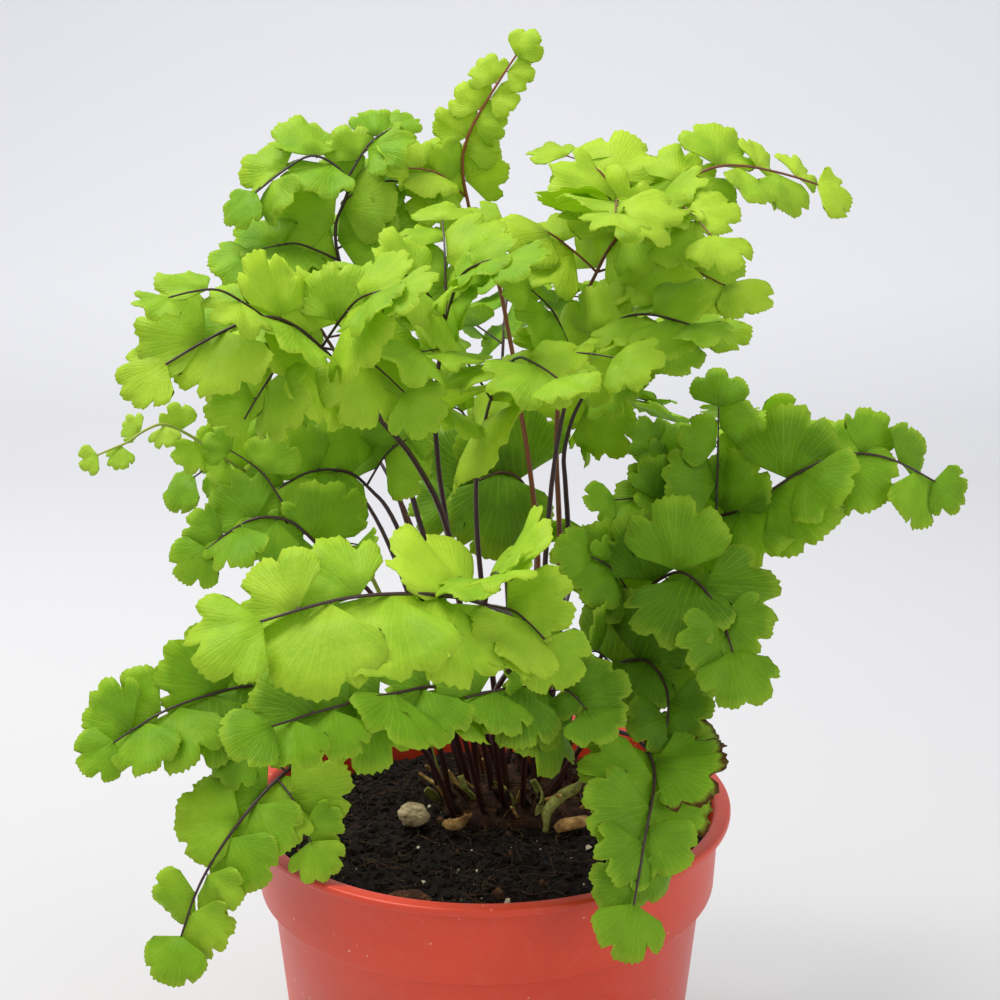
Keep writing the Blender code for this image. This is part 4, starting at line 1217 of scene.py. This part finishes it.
# %% Crown
CROWN_RINGS, CROWN_SECTORS = 22, 72
CROWN_ROUGHNESS = 1.1
CROWN_SINK = 0.4
OUTGROWTHS, ROOTLETS = 150, 95  # all of them, and how many of those are rootlets
work = bmesh.new()
rings = []
for k in range(1, CROWN_RINGS + 1):
    share = math.sin(0.5 * math.pi * k / CROWN_RINGS)
    ring = []
    for j in range(CROWN_SECTORS):
        turn = math.tau * j / CROWN_SECTORS
        x = CROWN_CENTRE[0] + CROWN_HALF[0] * share * math.cos(turn)
        y = CROWN_CENTRE[1] + CROWN_HALF[1] * share * math.sin(turn)
        rough = noise.fractal(Vector((x / 4, y / 4, 1.0)), 0.8, 2.2, 4) * CROWN_ROUGHNESS
        ring.append(work.verts.new((x * MM, y * MM, (crown_height(x, y) - CROWN_SINK + rough) * MM)))
    rings.append(ring)
rings.append([work.verts.new((vert.co.x, vert.co.y, (SOIL_TOP - 2.0) * MM)) for vert in rings[-1]])
peak = crown_height(*CROWN_CENTRE) - CROWN_SINK
skinned(work, work.verts.new((CROWN_CENTRE[0] * MM, CROWN_CENTRE[1] * MM, peak * MM)), rings)
crown = shown("rhizome_crown", from_bmesh(work, "rhizome_crown"))
crown.data.materials.append(wood)
fitted(crown, "crown")

chance = random.Random("stubs")
stubs, straws, roots = [], [], []
for k in range(OUTGROWTHS):
    turn, share = chance.uniform(0, math.tau), math.sqrt(chance.random())
    x = CROWN_CENTRE[0] + CROWN_HALF[0] * 0.95 * share * math.cos(turn)
    y = CROWN_CENTRE[1] + CROWN_HALF[1] * 0.95 * share * math.sin(turn)
    foot = np.array([x, y, crown_height(x, y) - 1.0])
    lean = unit([math.cos(turn) * share + chance.uniform(-0.4, 0.4),
                 math.sin(turn) * share + chance.uniform(-0.4, 0.4), chance.uniform(0.5, 1.4)])
    if k < ROOTLETS:
        path = curl(chance, x, y, foot[2] + 0.8, chance.uniform(5, 16), 0.15)
        roots.append((path, np.linspace(chance.uniform(0.16, 0.34), 0.1, len(path))))
        continue
    length = chance.uniform(3.5, 11)
    bend = np.array([chance.uniform(-1, 1), chance.uniform(-1, 1), 0]) * 0.18 * length
    path = np.array([foot, foot + lean * length * 0.5 + bend * 0.4, foot + lean * length + bend])
    thick = chance.uniform(0.45, 1.0)
    path = finer(path)
    (straws if k % 4 == 0 else stubs).append((path, np.linspace(thick, thick * 0.7, len(path))))
for name, lines, material in (("old_stem_stubs", stubs, wood), ("straw_stubs", straws, dead_stalk),
                              ("crown_rootlets", roots, fibre)):
    fitted(grown(line_mesh(lines), name, wires, Sides=8, Wobble=1.0 * MM, Material=material))
print("crown:", len(stubs), "stubs,", len(straws), "straws,", len(roots), "rootlets")

# %% [markdown]
# ## Loose pieces
#
# A pale chip and a piece of bark lie on the soil. Each chip is a ball pressed to its solid's size and
# broken up with noise, cut flat here and there as a splinter is.

# %% Chips
FACETS = [Vector(axis).normalized() for axis in
          ((1, 0.2, 0.3), (-0.3, 1, 0.2), (0.1, -0.2, 1), (0.7, 0.7, 0.1), (0.6, -0.6, 0.4))]
FACET_DEPTH = 0.86
CHIP_ROUGHNESS = 0.13


def chip(name, node, grain_mm, seed, material):
    """A broken chip that fills the box of this solid."""
    low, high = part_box(node)
    work = bmesh.new()
    bmesh.ops.create_icosphere(work, subdivisions=5, radius=1.0)
    half = (high - low) / 2
    for vert in work.verts:
        way = vert.co.normalized()
        flat = min(1.0, FACET_DEPTH / max(abs(way.dot(axis)) for axis in FACETS))
        rough = noise.fractal(way * half.length / (grain_mm * MM) + Vector((seed, 0, 0)), 0.8, 2.2, 5)
        vert.co = way * flat * (1 + CHIP_ROUGHNESS * rough)
        vert.co = Vector([vert.co[k] * half[k] * 1.03 for k in range(3)]) + (low + high) / 2
    obj = shown(name, from_bmesh(work, name))
    obj.data.materials.append(material)
    fitted(obj, node)
    print(name, len(obj.data.polygons), "faces")


chip("weathered_chip", "pale_chip", 3.5, 5, weathered)
chip("bark_scrap", "bark_chip", 2.5, 8, bark)

# %% [markdown]
# A curled dry leaf lies beside the chips, and the withered bases of old leaves stand about the crown. They
# are straps: thin sheets, hollow across, that turn as they go.

# %% Straps
STRAP_RIBS = 8
STRAP_SPAN_POINTS = 6
STRAP_HOLLOW = 2.2  # the angle that a strap's section bends through


def strap(name, points, width_mm, roll, turn, material, wall_mm=0.4):
    """A dry strap along points in millimetres: hollow across, rolled to start with and turning as it goes."""
    path = smooth_path(points, STRAP_SPAN_POINTS)
    steps, ribs = len(path) - 1, STRAP_RIBS
    rows = []
    for k, point in enumerate(path):
        share = k / steps
        ahead = unit(path[min(k + 1, steps)] - path[max(k - 1, 0)])
        side = unit(np.cross(ahead, (0.2, 0.1, 1.0)))
        lift = np.cross(side, ahead)
        width = 0.5 * width_mm * (0.25 + 0.75 * math.sin(math.pi * (0.1 + 0.8 * share)) ** 0.6)
        for j in range(ribs + 1):
            angle = roll + turn * share + STRAP_HOLLOW * (j / ribs - 0.5)
            crinkle = 1 + 0.16 * noise.noise(Vector((3 * share, 0.9 * j, width_mm)))
            out = side * math.sin(angle) + lift * math.cos(angle)
            rows.append(tuple((point + width * crinkle * out) * MM))
    wide = ribs + 1
    faces = [(k * wide + j, k * wide + j + 1, (k + 1) * wide + j + 1, (k + 1) * wide + j)
             for k in range(steps) for j in range(ribs)]
    mesh = bpy.data.meshes.new(name)
    mesh.from_pydata(rows, [], faces)
    mesh.materials.append(material)
    sheet = shown("sheet", mesh)
    wall = sheet.modifiers.new("wall", "SOLIDIFY")
    wall.thickness = wall_mm * MM
    wall.offset = 0
    return plain(sheet, name)


DRY_LEAF_POINTS = [(-10, -5, 98.9), (-8, -7, 100.0), (-6, -6, 101.8), (-4.5, -3.5, 102.0)]
curled = strap("curled_dry_leaf", DRY_LEAF_POINTS, 3.6, 0.4, 2.4, dead_leaf)
fitted(curled, "dry_leaf")

# Each base: its points, its width in millimetres, and its roll and turn
OLD_BASES = {
    "old_base_middle": ([(5, 1, 98), (5.5, 2, 101), (3.5, 5, 103.5), (1, 8, 104)], 3.2, 0.5, 1.0),
    "old_base_left": ([(-1, 2, 98.5), (-3, 4, 101), (-6, 5, 103.5), (-7, 7, 107)], 2.6, 0.2, 1.6),
    "old_base_right": ([(14, -7, 98), (14.5, -5, 102), (18, -2, 105), (22, 0, 107), (23, 2, 111)],
                       2.8, 0.3, 1.2),
    "old_base_back": ([(12, 0, 99), (12.5, 2, 103), (11, 4, 107)], 3.4, 0.8, 0.5),
    "old_base_low": ([(17, -8, 98.3), (20, -7, 99.2), (25, -5, 99.8)], 4.6, 0.1, 0.4),
    "old_base_side": ([(-12, 8, 99), (-13, 6, 101), (-15, 5, 104)], 2.4, 0.6, 1.2),
}
for name, (points, width, roll, turn) in OLD_BASES.items():
    material = dead_leaf if name == "old_base_low" else old_base
    fitted(strap(name, points, width, roll, turn, material))
print("straps:", 1 + len(OLD_BASES))

# %% [markdown]
# ## Stage, light and camera
#
# The plant stands on a plain pale sweep: a floor that curves up into a backdrop, so that no horizon shows.
# Its paper is painted darker near the front and paler towards the back, painted shade and light which even
# out the light on it. Lengths here are in metres.

# %% Stage
SWEEP_FRONT, SWEEP_DEPTH, SWEEP_HEIGHT, SWEEP_RADIUS, SWEEP_HALF_WIDTH = -3.0, 1.1, 2.2, 0.7, 2.5
BEND_STEPS = 16
section = [(SWEEP_FRONT, 0.0), (0.0, 0.0), (SWEEP_DEPTH, 0.0)]
for k in range(1, BEND_STEPS + 1):
    turn = 0.5 * math.pi * k / BEND_STEPS
    section.append((SWEEP_DEPTH + SWEEP_RADIUS * math.sin(turn), SWEEP_RADIUS * (1 - math.cos(turn))))
section.append((SWEEP_DEPTH + SWEEP_RADIUS, SWEEP_HEIGHT))
verts = [(side * SWEEP_HALF_WIDTH, y, z) for y, z in section for side in (-1, 1)]
mesh = bpy.data.meshes.new("sweep")
mesh.from_pydata(verts, [], [(2 * k, 2 * k + 1, 2 * k + 3, 2 * k + 2) for k in range(len(section) - 1)])
sweep = shown("sweep", mesh)
paper, tree, shader = new_material("matt_white_paper", 0.9)
place = add(tree, "ShaderNodeTexCoord").outputs["Object"]
distance = spread(tree, add(tree, "ShaderNodeSeparateXYZ", {0: place}).outputs["Y"], 0.0, 1.5)
# Painted shade towards the front of the sweep, painted light towards the back.
shade = ramp(tree, distance, [(0.0, "#c3c3c4"), (0.55, "#d2d2d5"), (0.95, "#ececef")])
tree.links.new(shade, shader.inputs["Base Color"])
mesh.materials.append(paper)
print("sweep:", len(mesh.polygons), "faces")

# %% [markdown]
# One large soft light above and to the left gives the leaves their bright tops, a weaker one fills the
# right, and the pale surroundings do the rest. The colours are shown as they are, with the Standard view
# transform.

# %% Light and camera
def soft_light(name, place, target, size, watts, colour="#ffffff"):
    """A round area light this wide, aimed at the target."""
    data = bpy.data.lights.new(name, "AREA")
    data.shape = "DISK"
    data.size = size
    data.energy = watts
    data.color = linear(colour)[:3]
    lamp = bpy.data.objects.new(name, data)
    bpy.context.scene.collection.objects.link(lamp)
    lamp.location = place
    lamp.rotation_euler = (Vector(target) - Vector(place)).to_track_quat("-Z", "Y").to_euler()


soft_light("key", (-0.45, 0.1, 1.25), (0, 0, 0.15), 0.8, 16.0, "#fffdf8")
soft_light("fill", (1.0, -0.9, 0.7), (0, 0, 0.12), 1.0, 4.0)
world = bpy.data.worlds.new("pale_room")
world.use_nodes = True
background = world.node_tree.nodes["Background"]
background.inputs["Color"].default_value = linear("#f2f4f8")
background.inputs["Strength"].default_value = 0.8
bpy.context.scene.world = world
bpy.context.scene.view_settings.view_transform = "Standard"

CAMERA_PLACE = (0.0033, -0.3691, 0.2684)
CAMERA_PITCH = 13.466  # degrees below the horizontal
camera_data = bpy.data.cameras.new("camera")
camera_data.lens = 57.6
camera_data.sensor_width = 36.0
camera_data.clip_start = 0.01
camera = bpy.data.objects.new("camera", camera_data)
bpy.context.scene.collection.objects.link(camera)
camera.location = CAMERA_PLACE
camera.rotation_euler = (math.radians(90 - CAMERA_PITCH), 0, 0)
bpy.context.scene.camera = camera
